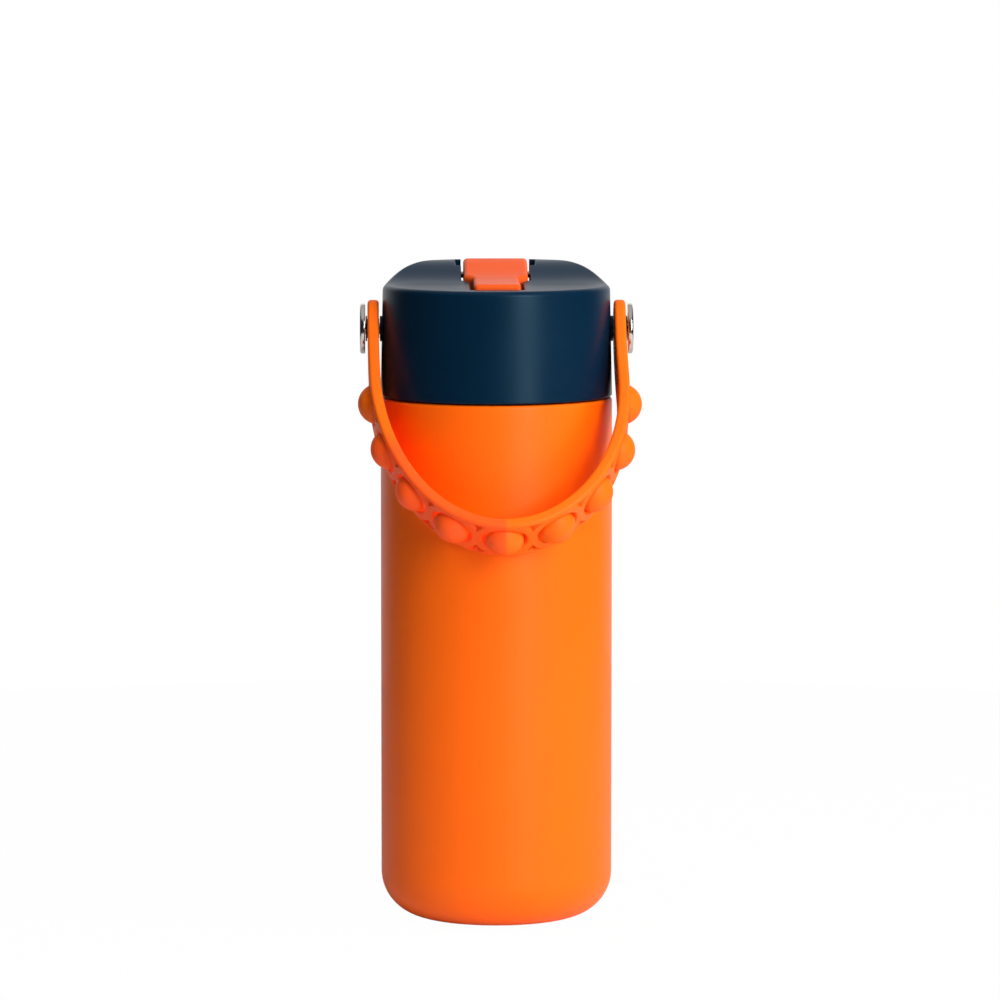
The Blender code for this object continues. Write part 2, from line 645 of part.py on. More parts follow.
def shoulder_outline(tip, side):
    """Plan of what is cut away beside the tab, up to the slanted shoulder of the wide part."""
    slant = SLOT_STEP - SLOT_NARROW_HALF + WIDE_GAP * sqrt(2.0) - HINGE_Y
    inner = SPOUT_NARROW / 2
    outer = SPOUT_WIDE / 2 + OVERCUT
    front = tip - OVERCUT
    points = [(inner, front), (outer, front), (outer, outer + slant), (inner, inner + slant)]
    return points if side > 0.0 else [(-x, y) for x, y in reversed(points)]


def round_edges(target, width):
    """Round the sharp edges of a prism."""
    step = target.modifiers.new("rounded_edges", "BEVEL")
    step.width = width
    step.segments = EDGE_STEPS
    step.limit_method = "ANGLE"
    step.angle_limit = radians(EDGE_ANGLE)


def make_spout(material, pin_material, hinge, lid):
    """Flip spout with its tab and duct, and the two pins it turns on."""
    tip = TIP_GAP - SLOT_FRONT - HINGE_Y
    spout = add_object("flip_spout", prism(spout_outline(tip), SPOUT_WIDE / 2), material, hinge)
    round_edges(spout, SPOUT_EDGE)
    deep = BARREL_RADIUS + OVERCUT
    shoulders = [
        add_object("spout_shoulder", column(shoulder_outline(tip, side), -deep, deep), parent=hinge)
        for side in (-1.0, 1.0)
    ]
    pin_inner = SPOUT_WIDE / 2 - PIN_REACH
    hole_inner = pin_inner - SEAT_GAP
    hole_outer = SPOUT_WIDE / 2 + OVERCUT
    spans = [(hole_inner, hole_outer), (-hole_outer, -hole_inner)]
    pin_holes = add_rods("spout_pin_holes", PIN_RADIUS + SEAT_GAP, spans, (0.0, 0.0, 0.0))
    duct_span = (tip - OVERCUT, BARREL_RADIUS + OVERCUT)
    duct = add_rods("spout_duct", DUCT_RADIUS, [duct_span], (0.0, 0.0, -DUCT_OFFSET), "Y")
    for core in (pin_holes, duct):
        core.parent = hinge
    cut(spout, *shoulders, duct, pin_holes)

    pin_outer = TROUGH_HALF - SEAT_GAP
    pin = [(0.0, pin_outer), (PIN_RADIUS, pin_outer), (PIN_RADIUS, pin_inner), (0.0, pin_inner)]
    for side, name in ((-1.0, "spout_pin_left"), (1.0, "spout_pin_right")):
        turn = (0.0, side * pi / 2, 0.0)
        add_object(name, turned(pin, SMALL_SEGMENTS), pin_material, lid, (0.0, HINGE_Y, HINGE_Z), turn)


def stud_pieces():
    """Turned outlines of one stud, its bush and its insert, along the outward axis."""
    head_out = HEAD_FACE + STUD_HEAD_THICKNESS
    shank_end = INSERT_FACE - INSERT_LENGTH
    head_centre = (STUD_HEAD_RADIUS - STUD_HEAD_EDGE, head_out - STUD_HEAD_EDGE)
    rim = arc(head_centre, STUD_HEAD_EDGE, 90, 0, RIM_STEPS)
    stud = [
        (0.0, head_out), *rim, (STUD_HEAD_RADIUS - STACK_GAP, HEAD_FACE),
        (SHANK_RADIUS, HEAD_FACE), (SHANK_RADIUS, shank_end), (0.0, shank_end),
    ]
    flange_out = FLANGE_FACE + BUSH_FLANGE
    bush_end = BOSS_FACE + STACK_GAP
    bush = [
        (BUSH_BORE, flange_out), (BUSH_FLANGE_RADIUS, flange_out), (BUSH_FLANGE_RADIUS, FLANGE_FACE),
        (BUSH_RADIUS, FLANGE_FACE), (BUSH_RADIUS, bush_end), (BUSH_BORE, bush_end),
    ]
    insert = [
        (BUSH_BORE, INSERT_FACE), (INSERT_RADIUS, INSERT_FACE),
        (INSERT_RADIUS, shank_end), (BUSH_BORE, shank_end),
    ]
    return {"stud": stud, "strap_bush": bush, "stud_insert": insert}


def make_studs(materials, parent):
    """Both studs with their bushes and inserts, on the strap's axis."""
    for side, label in ((-1.0, "left"), (1.0, "right")):
        turn = (0.0, side * pi / 2, 0.0)
        for kind, outline in stud_pieces().items():
            segments = BODY_SEGMENTS // 2 if kind == "stud" else SMALL_SEGMENTS
            bm = turned(outline, segments)
            add_object(f"{kind}_{label}", bm, materials[kind], parent, (0.0, 0.0, STUD_Z), turn)


def strap_path(count):
    """Inner face of the strap as it hangs from its studs, left to right.

    Returns points (x, depth) and outward normals, evenly spaced along the path.
    """
    turn = np.linspace(0.0, pi, BOW_SAMPLES)
    arm = np.linspace(0.0, STRAP_ARM, ARM_SAMPLES, endpoint=False)
    edge = np.full_like(arm, STRAP_INNER)
    side = np.concatenate([-edge, -STRAP_INNER * np.cos(turn), edge])
    depth = np.concatenate([arm, STRAP_ARM + STRAP_BOW * np.sin(turn), arm[::-1]])
    side = side + STRAP_SWAY * np.sin(pi / 2 * np.minimum(1.0, depth / SWAY_DEPTH)) ** 2
    length = np.concatenate([[0.0], np.cumsum(np.hypot(np.diff(side), np.diff(depth)))])
    even = np.linspace(0.0, length[-1], count)
    points = np.column_stack([np.interp(even, length, side), np.interp(even, length, depth)])
    along = np.gradient(points, axis=0)
    along = along / np.hypot(along[:, 0], along[:, 1])[:, None]
    normals = np.column_stack([-along[:, 1], along[:, 0]])
    normals[0] = (-1.0, 0.0)
    normals[-1] = (1.0, 0.0)
    return points, normals


def strap_section(bm, point, normal, half_width):
    """One ring of the strap: a rectangle with its corners taken off."""
    wide = half_width - STRAP_EDGE
    thick = STRAP_THICKNESS
    corners = [
        (-wide, 0.0), (wide, 0.0), (half_width, STRAP_EDGE), (half_width, thick - STRAP_EDGE),
        (wide, thick), (-wide, thick), (-half_width, thick - STRAP_EDGE), (-half_width, STRAP_EDGE),
    ]
    return [
        bm.verts.new((point[0] + normal[0] * out, across, -(point[1] + normal[1] * out)))
        for across, out in corners
    ]


def strap_mesh():
    """Band with rounded tabs around the eyelets."""
    points, normals = strap_path(STRAP_SECTIONS)
    stations = []
    for angle in TAB_ANGLES:
        width = STRAP_WIDTH / 2 * cos(radians(angle))
        stations.append(((-STRAP_INNER, -STRAP_TAB * sin(radians(angle))), (-1.0, 0.0), width))
    tail = [((STRAP_INNER, place[1]), (1.0, 0.0), width) for place, normal, width in reversed(stations)]
    stations += [(point, normal, STRAP_WIDTH / 2) for point, normal in zip(points, normals)]
    bm = bmesh.new()
    rings = [strap_section(bm, *station) for station in stations + tail]
    for near, far in zip(rings, rings[1:]):
        for index in range(len(near)):
            nearby = (index + 1) % len(near)
            bm.faces.new((near[index], near[nearby], far[nearby], far[index]))
    bm.faces.new(rings[0])
    bm.faces.new(rings[-1])
    return bm


def bubble_places():
    """Centre (x, depth) on the outer face and outward normal of each bubble, left to right."""
    points, normals = strap_path(PATH_SAMPLES)
    outer = points + STRAP_THICKNESS * normals
    steps = np.hypot(np.diff(outer[:, 0]), np.diff(outer[:, 1]))
    length = np.concatenate([[0.0], np.cumsum(steps)])
    places = []
    for index in range(BUBBLE_COUNT):
        along = length[-1] / 2 + (index - (BUBBLE_COUNT - 1) / 2) * BUBBLE_PITCH
        centre = [float(np.interp(along, length, outer[:, axis])) for axis in (0, 1)]
        normal = [float(np.interp(along, length, normals[:, axis])) for axis in (0, 1)]
        places.append((centre, normal))
    return places


def bubble_outline():
    """Hollow dome on a short skirt, about its own axis with the strap's outer face at zero."""
    def dome(radius, height):
        sphere = (radius * radius + height * height) / (2.0 * height)
        rim = degrees(atan2(sphere - height, radius))
        return arc((0.0, height - sphere), sphere, 90, rim, DOME_STEPS)

    inner_radius = BUBBLE_RADIUS - BUBBLE_WALL
    inner_height = BUBBLE_HEIGHT - BUBBLE_WALL
    outside = dome(BUBBLE_RADIUS, BUBBLE_HEIGHT)
    inside = dome(inner_radius, inner_height)
    foot = -BUBBLE_SKIRT
    outline = outside + [(BUBBLE_RADIUS, foot), (inner_radius, foot)] + inside[::-1]
    outline[0] = (0.0, outside[0][1])
    outline[-1] = (0.0, inside[0][1])
    return outline


def make_strap(strap_material, bubble_material, hinge):
    """Strap with its eyelets and bubble seats, and the bubbles that push through it."""
    strap = add_object("strap", strap_mesh(), strap_material, hinge)
    eyelets = add_rods("eyelet_bore", EYELET_RADIUS, [(-HEAD_FACE, HEAD_FACE)], (0.0, 0.0, 0.0))
    eyelets.parent = hinge
    cut(strap, eyelets)
    seat_radius = BUBBLE_RADIUS + SEAT_GAP
    seat_top = OVERCUT
    seat_foot = -STRAP_THICKNESS - OVERCUT
    seat = [(0.0, seat_top), (seat_radius, seat_top), (seat_radius, seat_foot), (0.0, seat_foot)]
    for index, (centre, normal) in enumerate(bubble_places(), start=1):
        place = (centre[0], 0.0, -centre[1])
        turn = (0.0, atan2(normal[0], -normal[1]), 0.0)
        hole = add_object(f"bubble_seat_{index}", turned(seat, BUBBLE_SEGMENTS), None, hinge, place, turn)
        cut(strap, hole)
        dome = turned(bubble_outline(), BUBBLE_SEGMENTS)
        add_object(f"popper_{index}", dome, bubble_material, hinge, place, turn)


def main():
    """Build the bottle, the lid, the spout and the strap."""
    clear_scene()
    powder_coat = finish("orange_powder_coat", (1.0, 0.20, 0.012), 0.45)
    steel = finish("brushed_steel", (0.58, 0.58, 0.57), 0.32, 1.0)
    solder = finish("solder", (0.45, 0.45, 0.44), 0.45, 1.0)
    getter_metal = finish("getter_metal", (0.30, 0.30, 0.31), 0.6, 1.0)
    pad_rubber = finish("navy_silicone", (0.010, 0.025, 0.045), 0.7)
    lid_plastic = finish("navy_plastic", (0.006, 0.026, 0.052), 0.42)
    liner_plastic = finish("white_liner_plastic", (0.75, 0.75, 0.73), 0.5)
    clear_silicone = finish("clear_silicone", (0.70, 0.71, 0.70), 0.55)
    straw_plastic = finish("straw_plastic", (0.78, 0.79, 0.79), 0.4)
    spout_plastic = finish("orange_plastic", (0.90, 0.15, 0.035), 0.4)
    pin_steel = finish("pin_steel", (0.55, 0.55, 0.55), 0.3, 1.0)
    stud_chrome = finish("polished_stud", (0.72, 0.71, 0.69), 0.15, 1.0)
    bush_plastic = finish("black_bush_plastic", (0.012, 0.012, 0.013), 0.5)
    brass = finish("brass_insert", (0.69, 0.46, 0.16), 0.35, 1.0)
    strap_silicone = finish("orange_silicone", (1.0, 0.17, 0.015), 0.5)
    bubble_silicone = finish("bubble_silicone", (1.0, 0.16, 0.018), 0.5)

    bottle = empty("bottle", (0.0, 0.0, 0.0))
    lid = empty("lid_axis", (0.0, 0.0, 0.0), bottle)
    spout_hinge = empty("spout_hinge", (0.0, HINGE_Y, HINGE_Z), lid)
    strap_hinge = empty("strap_hinge", (0.0, 0.0, STUD_Z), lid, (-STRAP_LEAN, 0.0, 0.0))

    make_shell(powder_coat, bottle)
    make_base(pad_rubber, solder, getter_metal, bottle)
    make_flask(steel, bottle)
    make_cap(lid_plastic, lid)
    make_liner(liner_plastic, lid)
    make_lid_seals(clear_silicone, clear_silicone, lid)
    make_straw(straw_plastic, clear_silicone, lid)
    make_spout(spout_plastic, pin_steel, spout_hinge, lid)
    make_studs({"stud": stud_chrome, "strap_bush": bush_plastic, "stud_insert": brass}, lid)
    make_strap(strap_silicone, bubble_silicone, strap_hinge)


if __name__ == "__main__":
    main()
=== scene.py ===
"""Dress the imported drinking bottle: smooth pieces, procedural finishes, studio light and camera.

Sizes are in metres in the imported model's own frame: +Z is up, the front faces -Y and the origin
is the centre of the underside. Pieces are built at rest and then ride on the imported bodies.
"""

import logging
from dataclasses import dataclass, field
from enum import Enum
from math import asin, atan2, ceil, cos, hypot, pi, radians, sin, tan
from typing import Any, Sequence

import bmesh
import bpy
import numpy as np
from mathutils import Matrix, Vector

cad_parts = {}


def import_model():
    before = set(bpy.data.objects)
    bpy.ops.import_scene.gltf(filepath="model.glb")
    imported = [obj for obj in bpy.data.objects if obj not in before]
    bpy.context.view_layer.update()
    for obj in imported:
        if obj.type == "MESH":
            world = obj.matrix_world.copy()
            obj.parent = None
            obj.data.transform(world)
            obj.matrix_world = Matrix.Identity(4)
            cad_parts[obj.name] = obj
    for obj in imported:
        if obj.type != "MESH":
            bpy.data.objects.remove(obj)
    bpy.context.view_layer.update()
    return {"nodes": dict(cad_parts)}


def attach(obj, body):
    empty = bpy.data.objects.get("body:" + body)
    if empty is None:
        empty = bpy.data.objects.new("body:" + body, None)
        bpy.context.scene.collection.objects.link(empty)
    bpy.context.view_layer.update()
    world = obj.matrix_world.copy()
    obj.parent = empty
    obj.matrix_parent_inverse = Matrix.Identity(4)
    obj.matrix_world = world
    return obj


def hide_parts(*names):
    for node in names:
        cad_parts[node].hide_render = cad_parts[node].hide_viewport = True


LOG = logging.getLogger("bottle")
MM = 0.001
WHITE = (1.0, 1.0, 1.0, 1.0)
MERGE = 1e-7
ON_AXIS = 1e-9
STRAIGHT = 1e-4
ARC_STEP = 0.6 * MM
LEAST_ARC_STEPS = 5

Point2 = tuple[float, float]
Point3 = tuple[float, float, float]
Corner = tuple[float, float, float]
Tree = bpy.types.NodeTree
Socket = bpy.types.NodeSocket
Piece = bpy.types.Object


def linear(hex_colour: str) -> tuple[float, float, float, float]:
    """Turn an sRGB hex colour into linear light.

    Args:
        hex_colour: Six hex digits after a hash.

    Returns:
        Red, green and blue in linear light, and an alpha of one.
    """
    parts = [int(hex_colour[at:at + 2], 16) / 255.0 for at in (1, 3, 5)]
    light = [p / 12.92 if p <= 0.04045 else ((p + 0.055) / 1.055) ** 2.4 for p in parts]
    return light[0], light[1], light[2], 1.0


def per_mm(size_mm: float) -> float:
    """Texture scale at which one cell of a pattern is that many millimetres wide."""
    return 1000.0 / size_mm


def add_node(
    tree: Tree,
    kind: str,
    settings: dict[str, Any] | None = None,
    inputs: dict[str | int, Any] | None = None,
) -> bpy.types.Node:
    """Add a node with its settings and links.

    Args:
        tree: Node tree that gets the node.
        kind: Blender's name of the node type.
        settings: Properties of the node.
        inputs: Values or output sockets for its inputs, by name or number.

    Returns:
        The new node.
    """
    node = tree.nodes.new(kind)
    for key, value in (settings or {}).items():
        setattr(node, key, value)
    for key, value in (inputs or {}).items():
        if isinstance(value, Socket):
            tree.links.new(value, node.inputs[key])
        else:
            node.inputs[key].default_value = value
    return node


def calculate(tree: Tree, operation: str, first: Any, second: Any) -> Socket:
    """Work out two values or sockets by a maths node and return its output."""
    return add_node(tree, "ShaderNodeMath", {"operation": operation}, {0: first, 1: second}).outputs[0]


def blend(tree: Tree, share: Any, first: Any, second: Any, colours: bool = True) -> Socket:
    """Mix two colours, or two numbers, by a share and return the output."""
    kind, at, out = ("RGBA", 6, 2) if colours else ("FLOAT", 2, 0)
    inputs = {0: share, at: first, at + 1: second}
    return add_node(tree, "ShaderNodeMix", {"data_type": kind}, inputs).outputs[out]


def fade(tree: Tree, value: Any, edges: Point2, levels: Point2 = (0.0, 1.0)) -> Socket:
    """Let a value rise smoothly from one level to another.

    Args:
        tree: Node tree that gets the node.
        value: Socket with the value.
        edges: Values at which the rise starts and ends.
        levels: Levels before and after it.

    Returns:
        The output socket.
    """
    inputs = {"Value": value, "From Min": edges[0], "From Max": edges[1]}
    inputs |= {"To Min": levels[0], "To Max": levels[1]}
    made = add_node(tree, "ShaderNodeMapRange", {"interpolation_type": "SMOOTHSTEP"}, inputs)
    return made.outputs["Result"]


class Surface(Enum):
    """How a surface was made, which sets the direction of its pattern."""

    EVEN = "no direction: sprayed, moulded or cast"
    BRUSHED = "fine lines around the bottle's axis"
    TURNED = "fine rings around the strap's axis"


@dataclass(frozen=True)
class Finish:
    """A real material with the pattern its making leaves on the surface.

    The grain is the fine relief and the patches are the slow change of tone, each by its width.
    """

    name: str
    colour: str
    shade: str
    roughness: float
    grain_mm: float
    relief_mm: float
    patch_mm: float = 18.0
    unevenness: float = 0.05
    surface: Surface = Surface.EVEN
    metallic: float = 0.0
    ior: float = 1.5
    specular: float = 0.5
    gloss: str = "#FFFFFF"
    axis_height: float = 0.0
    brush_stretch: float = 0.03
    patch_detail: float = 3.0
    patch_roughness: float = 0.55
    grain_detail: float = 2.0

    def spread(self, tree: Tree) -> Socket:
        """Lay the pattern's coordinates over the piece at rest.

        Args:
            tree: Node tree of the material.

        Returns:
            Coordinates in metres, drawn out along the surface's own direction.
        """
        place = add_node(tree, "ShaderNodeTexCoord").outputs["Object"]
        if self.surface is Surface.EVEN:
            return place
        if self.surface is Surface.BRUSHED:
            scale = (self.brush_stretch, self.brush_stretch, 1.0)
            drawn = add_node(tree, "ShaderNodeMapping", None, {"Vector": place, "Scale": scale})
            return drawn.outputs["Vector"]
        kind, axis = "ShaderNodeVectorMath", (0.0, 0.0, self.axis_height)
        centred = add_node(tree, kind, {"operation": "SUBTRACT"}, {0: place, 1: axis}).outputs["Vector"]
        across = add_node(tree, kind, {"operation": "MULTIPLY"}, {0: centred, 1: (0.0, 1.0, 1.0)})
        ring = add_node(tree, kind, {"operation": "LENGTH"}, {0: across.outputs["Vector"]})
        rings = add_node(tree, "ShaderNodeCombineXYZ", None, {"X": ring.outputs["Value"]})
        return rings.outputs["Vector"]

    def tint(self, tree: Tree, patches: Socket) -> Socket:
        """Mix the two tones of the material.

        Args:
            tree: Node tree of the material.
            patches: Slow noise between zero and one.

        Returns:
            The colour of the surface.
        """
        return blend(tree, patches, linear(self.colour), linear(self.shade))

    def build(self) -> bpy.types.Material:
        """Make the Blender material.

        Returns:
            A material with varied colour and roughness and a fine relief.
        """
        made = bpy.data.materials.new(self.name)
        made.use_nodes = True
        tree = made.node_tree
        shader = tree.nodes["Principled BSDF"]
        constants = {"Metallic": self.metallic, "Specular IOR Level": self.specular,
                     "Specular Tint": linear(self.gloss)}
        if self.metallic == 0.0:
            constants["IOR"] = self.ior
        for key, value in constants.items():
            shader.inputs[key].default_value = value
        place = add_node(tree, "ShaderNodeTexCoord").outputs["Object"]
        slow = add_node(
            tree, "ShaderNodeTexNoise", None,
            {"Vector": place, "Scale": per_mm(self.patch_mm), "Detail": self.patch_detail,
             "Roughness": self.patch_roughness},
        )
        tree.links.new(self.tint(tree, slow.outputs["Fac"]), shader.inputs["Base Color"])
        gloss = add_node(
            tree, "ShaderNodeMapRange", None,
            {"Value": slow.outputs["Fac"], "To Min": self.roughness - self.unevenness,
             "To Max": self.roughness + self.unevenness},
        )
        tree.links.new(gloss.outputs["Result"], shader.inputs["Roughness"])
        fine = add_node(
            tree, "ShaderNodeTexNoise", None,
            {"Vector": self.spread(tree), "Scale": per_mm(self.grain_mm), "Detail": self.grain_detail},
        )
        relief = add_node(
            tree, "ShaderNodeBump", None,
            {"Height": fine.outputs["Fac"], "Distance": self.relief_mm * MM, "Strength": 1.0},
        )
        tree.links.new(relief.outputs["Normal"], shader.inputs["Normal"])
        return made


@dataclass(frozen=True)
class TwoToneRubber(Finish):
    """Silicone whose left lower stretch is redder, up to the middle of the strap.

    The red stretch also carries painted light: an emission in its own red brightens the shaded
    side of that stretch, so that it stays bright where little light reaches it.
    """

    red: str = "#FF5A1A"
    red_shade: str = "#FC5216"
    # Strength of the painted glow: an emission on the red stretch that stands in for light on its shaded
    # side.
    painted_glow: float = 0.07
    fade_top: float = 0.1530
    fade_bottom: float = 0.1450
    middle: float = 0.0021
    seam_width: float = 0.0006

    def stretch(self, tree: Tree) -> Socket:
        """Mark the red stretch by its place on the resting strap.

        Args:
            tree: Node tree of the material.

        Returns:
            One on the red stretch and zero elsewhere.
        """
        place = add_node(tree, "ShaderNodeTexCoord").outputs["Object"]
        parts = add_node(tree, "ShaderNodeSeparateXYZ", None, {"Vector": place})
        seam = (self.middle + self.seam_width, self.middle - self.seam_width)
        left = fade(tree, parts.outputs["X"], seam)
        low = fade(tree, parts.outputs["Z"], (self.fade_top, self.fade_bottom))
        return calculate(tree, "MULTIPLY", left, low)

    def tint(self, tree: Tree, patches: Socket) -> Socket:
        """Mix the orange tones with the red tones by place on the strap.

        Args:
            tree: Node tree of the material.
            patches: Slow noise between zero and one.

        Returns:
            The colour of the surface.
        """
        orange = super().tint(tree, patches)
        red = blend(tree, patches, linear(self.red), linear(self.red_shade))
        return blend(tree, self.stretch(tree), orange, red)

    def build(self) -> bpy.types.Material:
        """Make the Blender material.

        Returns:
            The rubber, with painted light: an emission that brightens its red stretch.
        """
        made = super().build()
        tree = made.node_tree
        shader = tree.nodes["Principled BSDF"]
        # Painted light: the red stretch glows by an emission in its own red, which lifts its shaded side.
        shader.inputs["Emission Color"].default_value = linear(self.red)
        glow = calculate(tree, "MULTIPLY", self.stretch(tree), self.painted_glow)
        tree.links.new(glow, shader.inputs["Emission Strength"])
        return made


class Slot(Enum):
    """Finish of each of the record's material slots."""

    # Polyester powder coat, sprayed and baked: an even satin with a faint orange peel.
    powder_coat = Finish("orange_polyester_powder_coat", "#FF6907", "#FC6606", 0.40, 1.2, 0.006,
                         specular=0.16)
    # Stainless steel, spun and brushed: grey with fine lines around the wall.
    steel = Finish("brushed_stainless_steel", "#B9B9B6", "#ABABA8", 0.30, 0.35, 0.004,
                   surface=Surface.BRUSHED, metallic=1.0)
    # Tin solder, set from a melt: dull grey and a little lumpy.
    solder = Finish("set_tin_solder", "#A9AAA8", "#8F908E", 0.45, 0.8, 0.02, 4.0, metallic=1.0)
    # Sintered zirconium: dark grey and dry, with open grains.
    getter_metal = Finish("sintered_zirconium", "#6D6C70", "#59585B", 0.65, 0.4, 0.03, 2.0, metallic=1.0)
    # Silicone sheet, die cut: dark and matt, with a dusty bloom.
    pad_silicone = Finish("die_cut_silicone_sheet", "#0B2233", "#16303F", 0.62, 0.5, 0.01, ior=1.41)
    # Clear silicone, compression moulded: milky and soft.
    seal_silicone = Finish("milky_silicone", "#D9DAD6", "#CCCDC9", 0.50, 0.4, 0.006, ior=1.41)
    # Polypropylene, injection moulded in a spark-eroded tool: a dark blue satin.
    lid_plastic = Finish("moulded_navy_polypropylene", "#021C30", "#032036", 0.36, 0.5, 0.004,
                         ior=1.49, specular=0.17, gloss="#BDEEFF")
    # White polypropylene, injection moulded: plain and slightly waxy.
    liner_plastic = Finish("moulded_white_polypropylene", "#E0E0DB", "#D6D6D0", 0.45, 0.5, 0.004,
                           ior=1.49)
    # Low-density polyethylene, extruded: pale and waxy.
    straw_plastic = Finish("extruded_polyethylene", "#DFE2E2", "#D3D7D7", 0.38, 0.6, 0.004, ior=1.51)
    # Polypropylene, injection moulded: a warm orange satin.
    spout_plastic = Finish("moulded_orange_polypropylene", "#EC591C", "#E65419", 0.40, 0.5, 0.004,
                           ior=1.49, specular=0.12)
    # Steel wire, drawn and cropped.
    pin_steel = Finish("drawn_steel_wire", "#B2B2B0", "#A2A2A0", 0.28, 0.3, 0.004, 6.0, metallic=1.0)
    # Stainless steel, turned and polished: bright with very faint rings.
    stud_chrome = Finish("polished_stainless_steel", "#D2CFCA", "#C6C3BE", 0.16, 0.25, 0.0015, 6.0, 0.03,
                         Surface.TURNED, 1.0, axis_height=0.1791)
    # Acetal, turned from black rod.
    bush_plastic = Finish("turned_black_acetal", "#161617", "#1C1C1D", 0.42, 0.3, 0.003, ior=1.48)
    # Brass, turned and knurled.
    brass = Finish("turned_brass", "#C9A052", "#BB9247", 0.32, 0.3, 0.004, 6.0, metallic=1.0)
    # Silicone rubber, compression moulded: soft, matt and lightly dusty.
    strap_silicone = TwoToneRubber("moulded_orange_silicone", "#FF6C0A", "#FB6608", 0.52, 0.6, 0.006,
                                   ior=1.41, specular=0.25)


def quads(rows: int, count: int, ring: bool = True) -> list[tuple[int, ...]]:
    """List the faces between rows of points that follow one another.

    Args:
        rows: Number of rows.
        count: Points in each row.
        ring: Whether each row closes on itself.

    Returns:
        Four point numbers for each face.
    """
    pairs = [(k, (k + 1) % count) for k in range(count if ring else count - 1)]
    return [
        (low + k, low + after, low + count + after, low + count + k)
        for low in range(0, (rows - 1) * count, count) for k, after in pairs
    ]


def mirrored(half: Sequence[Corner]) -> list[Corner]:
    """Complete the right half of an outline, front to back, by its mirror image."""
    return [*half, *((-x, y, radius) for x, y, radius in reversed(half))]


def turn_to(made: Piece, spot: Vector, aim: Point3) -> None:
    """Place a lamp or a camera and point it at its aim."""
    made.location = spot
    made.rotation_euler = (Vector(aim) - spot).to_track_quat("-Z", "Y").to_euler()
    bpy.context.scene.collection.objects.link(made)


def round_edges(bm: bmesh.types.BMesh, edges: Sequence[bmesh.types.BMEdge], width: float) -> None:
    """Round some edges of a bmesh by an arc of four facets."""
    bmesh.ops.bevel(
        bm, geom=list(edges), offset=width, offset_type="OFFSET", segments=4, profile=0.5,
        affect="EDGES", clamp_overlap=False,
    )


@dataclass
class MeshData:
    """Points and faces of a piece before it becomes an object."""

    points: list[Point3] = field(default_factory=list)
    faces: list[tuple[int, ...]] = field(default_factory=list)

    def add(self, points: Sequence[Point3], faces: Sequence[Sequence[int]]) -> None:
        """Take over more points and the faces between them."""
        start = len(self.points)
        self.points.extend(tuple(float(value) for value in point) for point in points)
        self.faces.extend(tuple(start + index for index in face) for face in faces)

    def join(self, other: "MeshData") -> "MeshData":
        """Take over another mesh and return this one."""
        self.add(other.points, other.faces)
        return self

    def moved(self, matrix: Matrix) -> "MeshData":
        """Copy of the mesh, placed by a matrix."""
        return MeshData([tuple(matrix @ Vector(point)) for point in self.points], list(self.faces))

    def to_bmesh(self, merge: float = MERGE) -> bmesh.types.BMesh:
        """Make a closed bmesh with its normals outwards; points nearer than merge become one."""
        bm = bmesh.new()
        verts = [bm.verts.new(point) for point in self.points]
        for face in self.faces:
            bm.faces.new([verts[index] for index in face])
        bmesh.ops.remove_doubles(bm, verts=bm.verts, dist=merge)
        bmesh.ops.dissolve_degenerate(bm, edges=bm.edges, dist=merge)
        bmesh.ops.recalc_face_normals(bm, faces=bm.faces)
        return bm

    def softened(self, width: float, sharper_than: float = 40.0) -> "MeshData":
        """Copy of the mesh with its sharp edges rounded.

        Args:
            width: Radius of the rounding.
            sharper_than: Angle in degrees from which an edge counts as sharp.

        Returns:
            The rounded mesh.
        """
        bm = self.to_bmesh()
        round_edges(bm, [e for e in bm.edges if e.calc_face_angle(0.0) > radians(sharper_than)], width)
        bm.verts.index_update()
        faces = [tuple(v.index for v in face.verts) for face in bm.faces]
        made = MeshData([tuple(v.co) for v in bm.verts], faces)
        bm.free()
        return made

    @classmethod
    def taken(cls, mesh: bpy.types.Mesh) -> "MeshData":
        """Take the points and faces out of a Blender mesh, which is removed."""
        made = cls([tuple(v.co) for v in mesh.vertices], [tuple(f.vertices) for f in mesh.polygons])
        bpy.data.meshes.remove(mesh)
        return made

    def to_object(self, name: str, merge: float = MERGE) -> Piece:
        """Make a smooth-shaded object with even normals.

        Args:
            name: Name of the piece.
            merge: Distance under which points become one.

        Returns:
            The object, linked to the scene.
        """
        bm = self.to_bmesh(merge)
        mesh = bpy.data.meshes.new(name)
        bm.to_mesh(mesh)
        bm.free()
        return add_piece(name, mesh)


def add_piece(name: str, mesh: bpy.types.Mesh, crease: float = 40.0) -> Piece:
    """Put a mesh into the scene as a smooth-shaded piece with even normals.

    Args:
        name: Name of the piece.
        mesh: Its mesh.
        crease: Angle in degrees above which an edge stays sharp.

    Returns:
        The new piece.
    """
    piece = bpy.data.objects.new(name, mesh)
    bpy.context.scene.collection.objects.link(piece)
    piece.data.shade_smooth()
    piece.data.set_sharp_from_angle(angle=radians(crease))
    even = piece.modifiers.new("even_normals", "WEIGHTED_NORMAL")
    even.keep_sharp = True
    return piece


